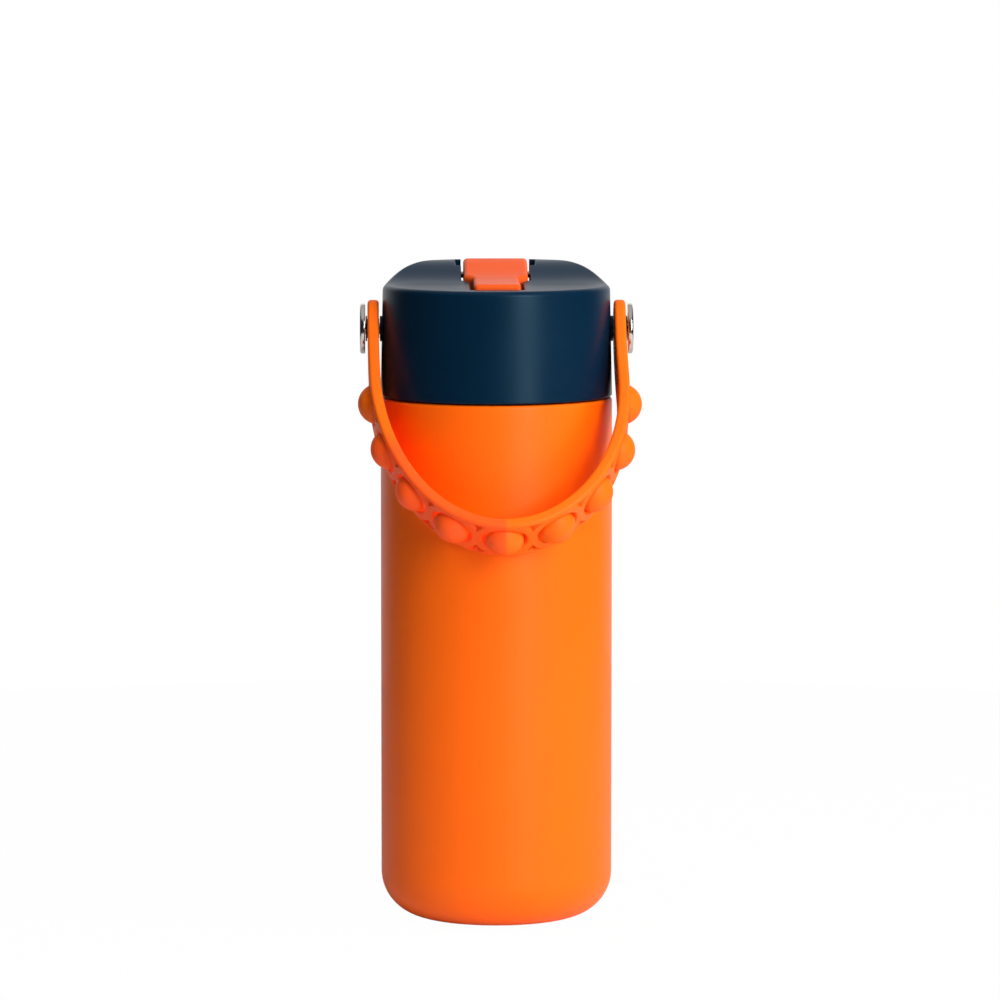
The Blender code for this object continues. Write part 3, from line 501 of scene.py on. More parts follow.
def rounded(corners: Sequence[Corner], closed: bool = True) -> list[Point2]:
    """Turn an outline's corners into arcs.

    Args:
        corners: Both coordinates of each corner and its own radius, which may be zero.
        closed: False for an outline whose two ends stay as they are.

    Returns:
        Points of the outline, with more of them on larger arcs.
    """
    outline: list[Point2] = []
    for index, (x, y, radius) in enumerate(corners):
        at_end = not closed and index in (0, len(corners) - 1)
        corner = Vector((x, y))
        back = (Vector(corners[index - 1][:2]) - corner).normalized()
        ahead = (Vector(corners[(index + 1) % len(corners)][:2]) - corner).normalized()
        opening = back.angle(ahead) if not at_end else pi
        if radius == 0.0 or at_end or pi - opening < STRAIGHT:
            outline.append((x, y))
            continue
        centre = corner + (back + ahead).normalized() * (radius / sin(opening / 2))
        first = corner + back * (radius / tan(opening / 2)) - centre
        turn = (pi - opening) * (1.0 if back.x * ahead.y - back.y * ahead.x < 0.0 else -1.0)
        steps = max(LEAST_ARC_STEPS, ceil(radius / ARC_STEP))
        for step in range(steps + 1):
            spoke = Matrix.Rotation(turn * step / steps, 2) @ first
            outline.append((centre.x + spoke.x, centre.y + spoke.y))
    return outline


def lathe(outline: Sequence[Point2], segments: int = 96, flat_ends: bool = False) -> MeshData:
    """Spin a radius and height outline about Z.

    Args:
        outline: Closed loop off the axis, or an open run with both ends on the axis.
        segments: Facets around the axis.
        flat_ends: Close the ends by one flat face each and not by a fan.

    Returns:
        The turned mesh.
    """
    on_axis = outline[0][0] < ON_AXIS
    rows = list(outline[1:-1]) if on_axis else list(outline)
    points = [
        (radius * cos(2.0 * pi * k / segments), radius * sin(2.0 * pi * k / segments), height)
        for radius, height in rows for k in range(segments)
    ]
    sides = quads(len(rows) if on_axis else len(rows) + 1, segments)
    faces = [tuple(index % len(points) for index in face) for face in sides]
    if on_axis:
        for row, height in ((0, outline[0][1]), (len(rows) - 1, outline[-1][1])):
            ring = [row * segments + k for k in range(segments)]
            if flat_ends:
                faces.append(tuple(ring))
            else:
                points.append((0.0, 0.0, height))
                pole = len(points) - 1
                faces += [(ring[k], ring[(k + 1) % segments], pole) for k in range(segments)]
    return MeshData(points, faces)


def extrude(outline: Sequence[Point2], axis: str, start: float, end: float) -> MeshData:
    """Extrude an outline along X, from Y and Z, or along Z, from X and Y.

    Args:
        outline: Closed outline in the other two axes.
        axis: Letter of the axis.
        start: Where the solid starts along the axis.
        end: Where it ends.

    Returns:
        The closed prism.
    """
    count = len(outline)
    points = [
        (level, a, b) if axis == "X" else (a, b, level) for level in (start, end) for a, b in outline
    ]
    return MeshData(points, [tuple(range(count)), tuple(range(count, 2 * count)), *quads(2, count)])


def carve(blank: MeshData, steps: Sequence[tuple[str, MeshData]], name: str) -> bpy.types.Mesh:
    """Run exact Booleans on a blank and take the result.

    Args:
        blank: Mesh to start from.
        steps: Operation and tool of each Boolean, in order.
        name: Name of the resulting mesh.

    Returns:
        The carved mesh; the helpers are gone.
    """
    target = blank.to_object(name)
    target.modifiers.clear()
    tools = []
    for operation, tool in steps:
        helper = tool.to_object(f"{name}_tool")
        helper.modifiers.clear()
        step = target.modifiers.new(operation.lower(), "BOOLEAN")
        step.operation, step.solver, step.object = operation, "EXACT", helper
        tools.append(helper)
    graph = bpy.context.evaluated_depsgraph_get()
    mesh = bpy.data.meshes.new_from_object(target.evaluated_get(graph))
    for helper in (target, *tools):
        bpy.data.objects.remove(helper, do_unlink=True)
    mesh.name = name
    return mesh


def circle(centre: Point2, radius: float, count: int = 48) -> list[Point2]:
    """Points of a circle in a plane."""
    turns = [2.0 * pi * k / count for k in range(count)]
    return [(centre[0] + radius * cos(turn), centre[1] + radius * sin(turn)) for turn in turns]


class Wardrobe:
    """All finishes of the bottle, and the way a piece gets its finish and joins the frame."""

    def __init__(self, nodes: dict[str, Piece]) -> None:
        """Build every finish once.

        Args:
            nodes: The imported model's nodes by name.
        """
        self.nodes = nodes
        self.materials = {slot: slot.value.build() for slot in Slot}

    def hand_over(self, piece: Piece, body: str, slot: Slot, replaced: Sequence[str]) -> None:
        """Dress a piece and let it ride on a body.

        Args:
            piece: New mesh piece at rest.
            body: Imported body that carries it.
            slot: Material slot it takes its finish from.
            replaced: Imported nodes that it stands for.
        """
        piece.data.materials.clear()
        piece.data.materials.append(self.materials[slot])
        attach(piece, body)
        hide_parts(*replaced)
        LOG.info("%s rides on %s in %s", piece.name, body, self.materials[slot].name)

    def keep(self, slot: Slot, *names: str) -> None:
        """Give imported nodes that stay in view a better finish.

        Args:
            slot: Material slot of the nodes.
            names: Names of the nodes.
        """
        for name in names:
            node = self.nodes[name]
            node.data.materials.clear()
            node.data.materials.append(self.materials[slot])
            LOG.info("%s keeps its solid in %s", name, self.materials[slot].name)


@dataclass(frozen=True)
class Datum:
    """Heights and radii at which the sub-assemblies meet."""

    body_radius: float = 0.0350
    body_top: float = 0.1585
    lid_bottom: float = 0.1590
    lid_rim: float = 0.1924
    lid_radius: float = 0.0343
    neck_radius: float = 0.0285
    hinge_y: float = 0.0246
    hinge_z: float = 0.193808
    stud_z: float = 0.1791
    ramp_start: float = -0.0004
    ramp_end: float = 0.0266
    ramp_rise: float = 0.0058
    ramp_skew: float = 1.28
    tab_proud: float = 0.0016
    spout_rise: float = 0.85

    def lid_top(self, y: float) -> float:
        """Height of the lid's top face at depth y: flat in front, then a ramp to a plateau."""
        share = min(max((y - self.ramp_start) / (self.ramp_end - self.ramp_start), 0.0), 1.0)
        share = share ** self.ramp_skew
        return self.lid_rim + self.ramp_rise * share * share * (3.0 - 2.0 * share)

    def spout_top(self, y: float) -> float:
        """Height of the spout's top face at depth y: proud of the lid and a little less steep."""
        return self.lid_rim + self.tab_proud + self.spout_rise * (self.lid_top(y) - self.lid_rim)


DATUM = Datum()


@dataclass
class Bottle:
    """Powder-coated shell with its bare steel neck, the inner flask and the soft base pad."""

    wall: float = 0.0008
    base_corner: float = 0.0137
    base_lift: float = 0.0004
    top_edge: float = 0.0010
    recess: float = 0.0016
    recess_radius: float = 0.0195
    dimple: float = 0.0032
    dimple_radius: float = 0.0050
    seal_hole: float = 0.0012
    neck_top: float = 0.1694
    coat_end: float = 0.0305
    flask_radius: float = 0.0318
    flask_wall: float = 0.0009
    flask_bottom: float = 0.0058
    flask_corner: float = 0.0090
    flask_neck: float = 0.0274
    flask_shoulder: float = 0.1553
    lip_top: float = 0.1705
    lip: float = 0.0008
    pad_radius: float = 0.0192
    pad: float = 0.0013
    thread_base: float = 0.1610
    thread_pitch: float = 0.0040
    thread_turns: float = 1.5
    thread_height: float = 0.0012
    thread_bite: float = 0.0004
    thread_foot: float = 0.0009
    thread_crest: Sequence[Point2] = ((0.7, 0.0006), (0.95, 0.0004), (1.0, 0.0002))
    thread_facets: int = 96
    thread_fade: float = 12.0
    dimple_edge: float = 0.0005
    rim_edge: float = 0.0004
    neck_edge: float = 0.0006
    mouth_edge: float = 0.0002
    shoulder_edges: Point2 = (0.0030, 0.0020)
    lip_edges: Point2 = (0.0003, 0.0004)
    pad_edges: Point2 = (0.0003, 0.0004)
    grips: Point2 = (0.0160, 0.0120)
    grip_width: float = 0.0010
    grip_depth: float = 0.0003
    grip_edge: float = 0.0002
    facets: int = 192
    inner_facets: int = 128

    def shell(self) -> MeshData:
        """Outline of the shell, base first, spun about the axis."""
        outer, top = DATUM.body_radius, DATUM.body_top
        inside, floor = outer - self.wall, self.recess + self.wall
        inner_corner = self.base_lift + self.base_corner - floor
        neck = DATUM.neck_radius
        bore = neck - self.wall
        dimple, dimple_top = self.dimple_radius + self.wall, self.dimple + self.wall
        corners = [
            (self.seal_hole, self.dimple, 0.0), (self.dimple_radius, self.dimple, self.dimple_edge),
            (self.dimple_radius, self.recess, self.dimple_edge), (self.recess_radius, self.recess, 0.0),
            (self.recess_radius, self.base_lift, self.rim_edge),
            (outer, self.base_lift, self.base_corner), (outer, top, self.top_edge),
            (self.coat_end, top, 0.0), (neck, top, self.neck_edge), (neck, self.neck_top, self.mouth_edge),
            (bore, self.neck_top, self.mouth_edge), (bore, top - self.wall, self.neck_edge),
            (inside, top - self.wall, self.top_edge), (inside, floor, inner_corner),
            (dimple, floor, self.rim_edge), (dimple, dimple_top, self.rim_edge),
            (self.seal_hole, dimple_top, 0.0),
        ]
        return lathe(rounded(corners), self.facets)

    def thread(self) -> MeshData:
        """Rounded screw ridge around the neck, fading out at both ends."""
        steps = round(self.thread_facets * self.thread_turns)
        half = [(-self.thread_bite, self.thread_foot)]
        half += [(share * self.thread_height, rise) for share, rise in self.thread_crest]
        section = [(out, -rise) for out, rise in half] + half[::-1]
        count = len(section)
        points = []
        for step in range(steps + 1):
            turn = self.thread_turns * step / steps
            full = min(1.0, max(step, 1) / self.thread_fade, max(steps - step, 1) / self.thread_fade)
            for out, rise in section:
                radius = DATUM.neck_radius + (out * full if out > 0.0 else out)
                level = self.thread_base + self.thread_pitch * turn + rise
                points.append((radius * cos(2.0 * pi * turn), radius * sin(2.0 * pi * turn), level))
        ends = [tuple(range(count)), tuple(range(steps * count, (steps + 1) * count))]
        return MeshData(points, quads(steps + 1, count) + ends)

    def flask(self) -> MeshData:
        """Inner wall from its floor to the rolled lip."""
        inside = self.flask_radius - self.flask_wall
        bore = self.flask_neck - self.flask_wall
        slope_foot = self.flask_shoulder - (self.flask_radius - self.flask_neck)
        shift = self.flask_wall * tan(pi / 8)
        floor = self.flask_bottom + self.flask_wall
        lip_foot, (foot_edge, neck_edge) = self.lip_top - self.lip, self.shoulder_edges
        corners = [
            (0.0, self.flask_bottom, 0.0), (self.flask_radius, self.flask_bottom, self.flask_corner),
            (self.flask_radius, slope_foot, foot_edge),
            (self.flask_neck, self.flask_shoulder, neck_edge),
            (self.flask_neck, lip_foot, 0.0), (DATUM.neck_radius, lip_foot, 0.0),
            (DATUM.neck_radius, self.lip_top, self.lip_edges[0]),
            (bore, self.lip_top, self.lip_edges[1]),
            (bore, self.flask_shoulder - shift, neck_edge), (inside, slope_foot - shift, foot_edge),
            (inside, floor, self.flask_corner - self.flask_wall), (0.0, floor, 0.0),
        ]
        return lathe(rounded(corners, closed=False), self.inner_facets)

    def base_pad(self) -> MeshData:
        """Soft disc with a rounded rim and two shallow grip grooves underneath."""
        corners: list[Corner] = [
            (0.0, self.pad, 0.0), (self.pad_radius, self.pad, self.pad_edges[0]),
            (self.pad_radius, 0.0, self.pad_edges[1]),
        ]
        for outer in self.grips:
            inner = outer - self.grip_width
            corners += [(outer, 0.0, self.grip_edge), (outer, self.grip_depth, 0.0),
                        (inner, self.grip_depth, 0.0), (inner, 0.0, self.grip_edge)]
        return lathe(rounded([*corners, (0.0, 0.0, 0.0)], closed=False), self.inner_facets)

    def dress(self, wardrobe: Wardrobe) -> None:
        """Build the pieces of the bottle and give them their finishes.

        Args:
            wardrobe: Finishes and frame.
        """
        shell = self.shell().join(self.thread()).to_object("bottle_shell")
        wardrobe.hand_over(shell, "bottle", Slot.powder_coat, ["outer_shell"])
        shell.data.materials.append(wardrobe.materials[Slot.steel])
        for face in shell.data.polygons:
            x, y, z = face.center
            bare = hypot(x, y) < self.coat_end and z > DATUM.body_top - 2.0 * self.wall
            face.material_index = 1 if bare else 0
        flask = self.flask().to_object("steel_flask")
        wardrobe.hand_over(flask, "bottle", Slot.steel, ["inner_flask"])
        pad = self.base_pad().to_object("soft_base_pad")
        wardrobe.hand_over(pad, "bottle", Slot.pad_silicone, ["base_pad"])
        wardrobe.keep(Slot.solder, "vacuum_seal")
        wardrobe.keep(Slot.getter_metal, "getter")


@dataclass
class Lid:
    """Screw lid: moulded cap with the spout slot, and the parts inside it."""

    bore: float = 0.0324
    edge: float = 0.0017
    foot_edge: float = 0.0004
    ceiling: float = 0.185208
    slot_floor: float = 0.187408
    slot_front: float = 0.0258
    slot_step: float = 0.0060
    narrow_half: float = 0.0081
    wide_half: float = 0.0105
    slot_corner: float = 0.0008
    slot_edge: float = 0.0004
    notch_half: float = 0.0121
    notch_radius: float = 0.0040
    notch_drop: float = 0.0005
    boss_radius: float = 0.0044
    boss_bore: float = 0.0030
    boss_face_radius: float = 0.00385
    boss_face: float = 0.0352
    boss_inner: float = 0.0256
    port_y: float = 0.0220
    port_radius: float = 0.0040
    ramp_step: float = 0.0005
    above: float = 0.0030
    gasket_bore: float = 0.0265
    gasket_radius: float = 0.0295
    gasket_levels: Point2 = (0.1708, 0.1723)
    seat_radii: Point3 = (0.0019, 0.0037, 0.0049)
    seat_levels: Point3 = (0.182708, 0.187708, 0.188508)
    valve_y: float = -0.0140
    valve_radii: Point3 = (0.0010, 0.0019, 0.0035)
    valve_levels: tuple[float, float, float, float] = (0.1715, 0.1723, 0.1747, 0.1761)
    soft_edge: float = 0.0003
    mouth_edge: float = 0.0003
    ceiling_edge: float = 0.0010
    boss_step: float = 0.0006
    boss_overlap: float = 0.0004
    notch_steps: int = 16
    sharp_angle: float = 60.0
    flat: float = 1e-6
    rim_slack: float = 0.0001
    slot_slack: float = 0.00005
    facets: int = 192
    gasket_facets: int = 128
    seat_facets: int = 64
    valve_facets: int = 48

    def blank(self) -> MeshData:
        """Cap with a flat top, a rounded rim and a plain cavity."""
        corners = [
            (0.0, DATUM.lid_rim, 0.0), (DATUM.lid_radius, DATUM.lid_rim, self.edge),
            (DATUM.body_radius, DATUM.lid_bottom, self.foot_edge),
            (self.bore, DATUM.lid_bottom, self.mouth_edge),
            (self.bore, self.ceiling, self.ceiling_edge), (0.0, self.ceiling, 0.0),
        ]
        return lathe(rounded(corners, closed=False), self.facets, flat_ends=True)

    def slot(self) -> MeshData:
        """Tool for the spout slot: narrow in front, wide from the step to the open back."""
        wide_start = self.slot_step + self.wide_half - self.narrow_half
        back = DATUM.body_radius + self.above
        half = [
            (self.narrow_half, -self.slot_front, self.slot_corner),
            (self.narrow_half, self.slot_step, 0.0),
            (self.wide_half, wide_start, 0.0), (self.wide_half, back, 0.0),
        ]
        return extrude(rounded(mirrored(half)), "Z", self.slot_floor, DATUM.lid_rim + self.above)

    def notches(self) -> MeshData:
        """Tool for the two half-round notches beside the spout's hinge pins."""
        level, top = DATUM.lid_rim - self.notch_drop, DATUM.lid_rim + self.above
        y, radius = DATUM.hinge_y, self.notch_radius
        turns = [pi + pi * k / self.notch_steps for k in range(self.notch_steps + 1)]
        outline = [(y + radius * cos(a), level + radius * sin(a)) for a in turns]
        outline += [(y + radius, top), (y - radius, top)]
        return extrude(outline, "X", -self.notch_half, self.notch_half)

    def rods(self, radius: float, start: float, end: float) -> MeshData:
        """Two round rods along the strap's axis, one on each side."""
        outline = circle((0.0, DATUM.stud_z), radius)
        return extrude(outline, "X", start, end).join(extrude(outline, "X", -end, -start))

    def on_top(self, verts: Sequence[bmesh.types.BMVert]) -> bool:
        """Tell whether all the points lie in the flat top."""
        return all(abs(vert.co.z - DATUM.lid_rim) < self.flat for vert in verts)

    def raise_top(self, bm: bmesh.types.BMesh) -> None:
        """Cut the flat top into strips across the ramp and lift it to the lid's real shape.

        Args:
            bm: Carved cap with its flat top.
        """
        rim = DATUM.lid_rim
        strips = round((DATUM.ramp_end - DATUM.ramp_start) / self.ramp_step)
        for step in range(strips + 1):
            flat = [face for face in bm.faces if self.on_top(face.verts)]
            parts = [*flat, *(e for f in flat for e in f.edges), *(v for f in flat for v in f.verts)]
            cut = DATUM.ramp_start + self.ramp_step * step
            bmesh.ops.bisect_plane(
                bm, geom=list(dict.fromkeys(parts)), dist=self.flat,
                plane_co=(0.0, cut, 0.0), plane_no=(0.0, 1.0, 0.0),
            )
        rim_start = DATUM.lid_radius - self.edge - self.rim_slack
        for vert in bm.verts:
            on_rim = hypot(vert.co.x, vert.co.y) > rim_start
            depth = self.edge + self.rim_slack if on_rim else self.slot_edge + self.slot_slack
            if vert.co.z > rim - depth:
                vert.co.z += DATUM.lid_top(vert.co.y) - rim

    def cap(self) -> Piece:
        """Carve the cap, soften the slot's edges and lift the ramp.

        Returns:
            The cap as a piece.
        """
        wall, over = self.bore + self.boss_step, self.above
        port = circle((0.0, self.port_y), self.port_radius)
        mesh = carve(self.blank(), [
            ("DIFFERENCE", self.slot()), ("DIFFERENCE", self.notches()),
            ("UNION", self.rods(self.boss_radius, self.boss_inner, wall)),
            ("UNION", self.rods(self.boss_face_radius, wall - self.boss_overlap, self.boss_face)),
            ("DIFFERENCE", self.rods(self.boss_bore, self.boss_inner - over, self.boss_face + over)),
            ("DIFFERENCE", extrude(port, "Z", self.ceiling - over, self.slot_floor + over)),
        ], "moulded_cap")
        bm = bmesh.new()
        bm.from_mesh(mesh)
        steep = radians(self.sharp_angle)
        sharp = [e for e in bm.edges if e.calc_face_angle(0.0) > steep and self.on_top(e.verts)]
        round_edges(bm, sharp, self.slot_edge)
        self.raise_top(bm)
        bm.to_mesh(mesh)
        bm.free()
        return add_piece("moulded_cap", mesh)

    def gasket(self) -> MeshData:
        """Soft ring between the neck's lip and the lid."""
        low, high = self.gasket_levels
        bore, rim = self.gasket_bore, self.gasket_radius
        spots = [(bore, high), (rim, high), (rim, low), (bore, low)]
        return lathe(rounded([(*spot, self.soft_edge) for spot in spots]), self.gasket_facets)

    def seat(self) -> MeshData:
        """Flanged soft seal under the spout's barrel."""
        bore, stem, flange = self.seat_radii
        foot, under, top = self.seat_levels
        corners = [
            (bore, top, self.soft_edge), (flange, top, self.soft_edge), (flange, under, 0.0),
            (stem, under, 0.0), (stem, foot, 0.0), (bore, foot, 0.0),
        ]
        seat = lathe(rounded(corners), self.seat_facets)
        return seat.moved(Matrix.Translation((0.0, self.port_y, 0.0)))

    def valve(self) -> MeshData:
        """Umbrella valve that lets air into the flask."""
        stem, bulb, umbrella = self.valve_radii
        tip, lip, neck, top = self.valve_levels
        corners = [
            (0.0, top, 0.0), (stem, top, self.soft_edge), (bulb, neck, self.soft_edge),
            (stem, neck, 0.0), (stem, lip, 0.0), (umbrella, lip, 0.0), (0.0, tip, 0.0),
        ]
        valve = lathe(rounded(corners, closed=False), self.valve_facets)
        return valve.moved(Matrix.Translation((0.0, self.valve_y, 0.0)))

    def dress(self, wardrobe: Wardrobe) -> None:
        """Build the pieces of the lid and give them their finishes.

        Args:
            wardrobe: Finishes and frame.
        """
        wardrobe.hand_over(self.cap(), "lid", Slot.lid_plastic, ["cap_shell"])
        soft = {"lip_gasket": ("gasket", self.gasket(), "lid_gasket"),
                "barrel_seat": ("lid", self.seat(), "spout_seat"),
                "air_valve": ("lid", self.valve(), "vent_valve")}
        for name, (body, mesh, node) in soft.items():
            wardrobe.hand_over(mesh.to_object(name), body, Slot.seal_silicone, [node])
        wardrobe.keep(Slot.liner_plastic, "cap_liner")
        wardrobe.keep(Slot.straw_plastic, "straw")
        wardrobe.keep(Slot.seal_silicone, "straw_adapter")
        wardrobe.keep(Slot.pin_steel, "spout_pin_left", "spout_pin_right")


@dataclass
class Spout:
    """Flip spout: flat tab, ramped wide part with slanted shoulders, barrel and drinking duct."""

    wide_half: float = 0.00975
    narrow_half: float = 0.0070
    slant: float = -0.00104
    tip: float = -0.0250
    barrel: float = 0.0050
    edge: float = 0.0012
    corner: float = 0.0008
    duct_radius: float = 0.0016
    duct_drop: float = 0.0030
    pin_hole: float = 0.0013
    pin_hole_inner: float = 0.00665
    over: float = 0.0020
    ramp_steps: int = 32
    duct_facets: int = 48
    pin_facets: int = 24

    def side_view(self) -> list[Point2]:
        """Flat tab and ramp, then the barrel around the hinge."""
        hinge_y, hinge_z = DATUM.hinge_y, DATUM.hinge_z
        run = hinge_y - DATUM.ramp_start
        ramp = [DATUM.ramp_start + run * k / self.ramp_steps for k in range(self.ramp_steps)]
        turns = [pi / 2 - pi * k / self.ramp_steps for k in range(self.ramp_steps + 1)]
        barrel = [(hinge_y + self.barrel * cos(a), hinge_z + self.barrel * sin(a)) for a in turns]
        top = [(y, DATUM.spout_top(y)) for y in (self.tip, *ramp)]
        return [*top, *barrel, (self.tip, hinge_z - self.barrel)]

    def plan(self) -> list[Point2]:
        """Plan with the narrow tab in front, slanted shoulders and the wide part behind."""
        back = DATUM.hinge_y + self.barrel + self.over
        half = [
            (self.narrow_half, self.tip - self.over, 0.0),
            (self.narrow_half, self.narrow_half + self.slant, self.corner),
            (self.wide_half, self.wide_half + self.slant, self.corner), (self.wide_half, back, 0.0),
        ]
        return rounded(mirrored(half))

    def build(self) -> Piece:
        """Carve the spout from its two views, round it and bore it.

        Returns:
            The spout as a piece.
        """
        hinge_y, hinge_z = DATUM.hinge_y, DATUM.hinge_z
        reach = self.wide_half + self.over
        side = extrude(self.side_view(), "X", -reach, reach)
        plan = extrude(
            self.plan(), "Z", hinge_z - self.barrel - self.over, hinge_z + self.barrel + self.over
        )
        blank = MeshData.taken(carve(side, [("INTERSECT", plan)], "lever_blank")).softened(self.edge)
        length = hinge_y + self.barrel - self.tip + 2.0 * self.over
        bore = [(0.0, 0.0), (self.duct_radius, 0.0), (self.duct_radius, length), (0.0, length)]
        lay = Matrix.Translation((0.0, self.tip - self.over, hinge_z - self.duct_drop))
        lay = lay @ Matrix.Rotation(-pi / 2, 4, "X")
        duct = lathe(bore, self.duct_facets, flat_ends=True).moved(lay)
        ring = circle((hinge_y, hinge_z), self.pin_hole, self.pin_facets)
        holes = extrude(ring, "X", self.pin_hole_inner, reach)
        holes.join(extrude(ring, "X", -reach, -self.pin_hole_inner))
        mesh = carve(blank, [("DIFFERENCE", duct), ("DIFFERENCE", holes)], "flip_lever")
        return add_piece("flip_lever", mesh)

    def dress(self, wardrobe: Wardrobe) -> None:
        """Build the spout and give it its finish."""
        wardrobe.hand_over(self.build(), "spout", Slot.spout_plastic, ["flip_spout"])


@dataclass
class Studs:
    """Polished disc-head studs, their bushes and their brass inserts."""

    head_radius: float = 0.0076
    head_face: float = 0.0396
    head_out: float = 0.0412
    head_edge: float = 0.0007
    dish_radius: float = 0.0060
    dish: float = 0.00015
    shank_radius: float = 0.00165
    shank_end: float = 0.0264
    dish_edge: float = 0.0006
    dish_lip: float = 0.0003
    lip_edge: float = 0.0004
    fine_edge: float = 0.0003
    facets: int = 96

    def stud(self) -> MeshData:
        """Turned stud along Z: dished head, rounded rim and shank."""
        dished, lip = self.head_out - self.dish, self.dish_radius + self.dish_lip
        corners = [
            (0.0, dished, 0.0), (self.dish_radius, dished, self.dish_edge),
            (lip, self.head_out, self.lip_edge), (self.head_radius, self.head_out, self.head_edge),
            (self.head_radius, self.head_face, self.fine_edge), (self.shank_radius, self.head_face, 0.0),
            (self.shank_radius, self.shank_end, self.fine_edge), (0.0, self.shank_end, 0.0),
        ]
        return lathe(rounded(corners, closed=False), self.facets)

    def dress(self, wardrobe: Wardrobe) -> None:
        """Build both studs and give the whole stack its finishes.

        Args:
            wardrobe: Finishes and frame.
        """
        for side, label in ((-1.0, "left"), (1.0, "right")):
            turn = Matrix.Translation((0.0, 0.0, DATUM.stud_z)) @ Matrix.Rotation(side * pi / 2, 4, "Y")
            piece = self.stud().moved(turn).to_object(f"polished_stud_{label}")
            wardrobe.hand_over(piece, "lid", Slot.stud_chrome, [f"stud_{label}"])
            wardrobe.keep(Slot.bush_plastic, f"strap_bush_{label}")
            wardrobe.keep(Slot.brass, f"stud_insert_{label}")


def even_steps(start: float, end: float, count: int) -> list[float]:
    """Places from the start on, in equal steps; the end itself is left out."""
    return [start + (end - start) * k / count for k in range(count)]


def step_up(value: np.ndarray) -> np.ndarray:
    """Smooth step from zero to one over the unit range."""
    share = np.clip(value, 0.0, 1.0)
    return share * share * (3.0 - 2.0 * share)


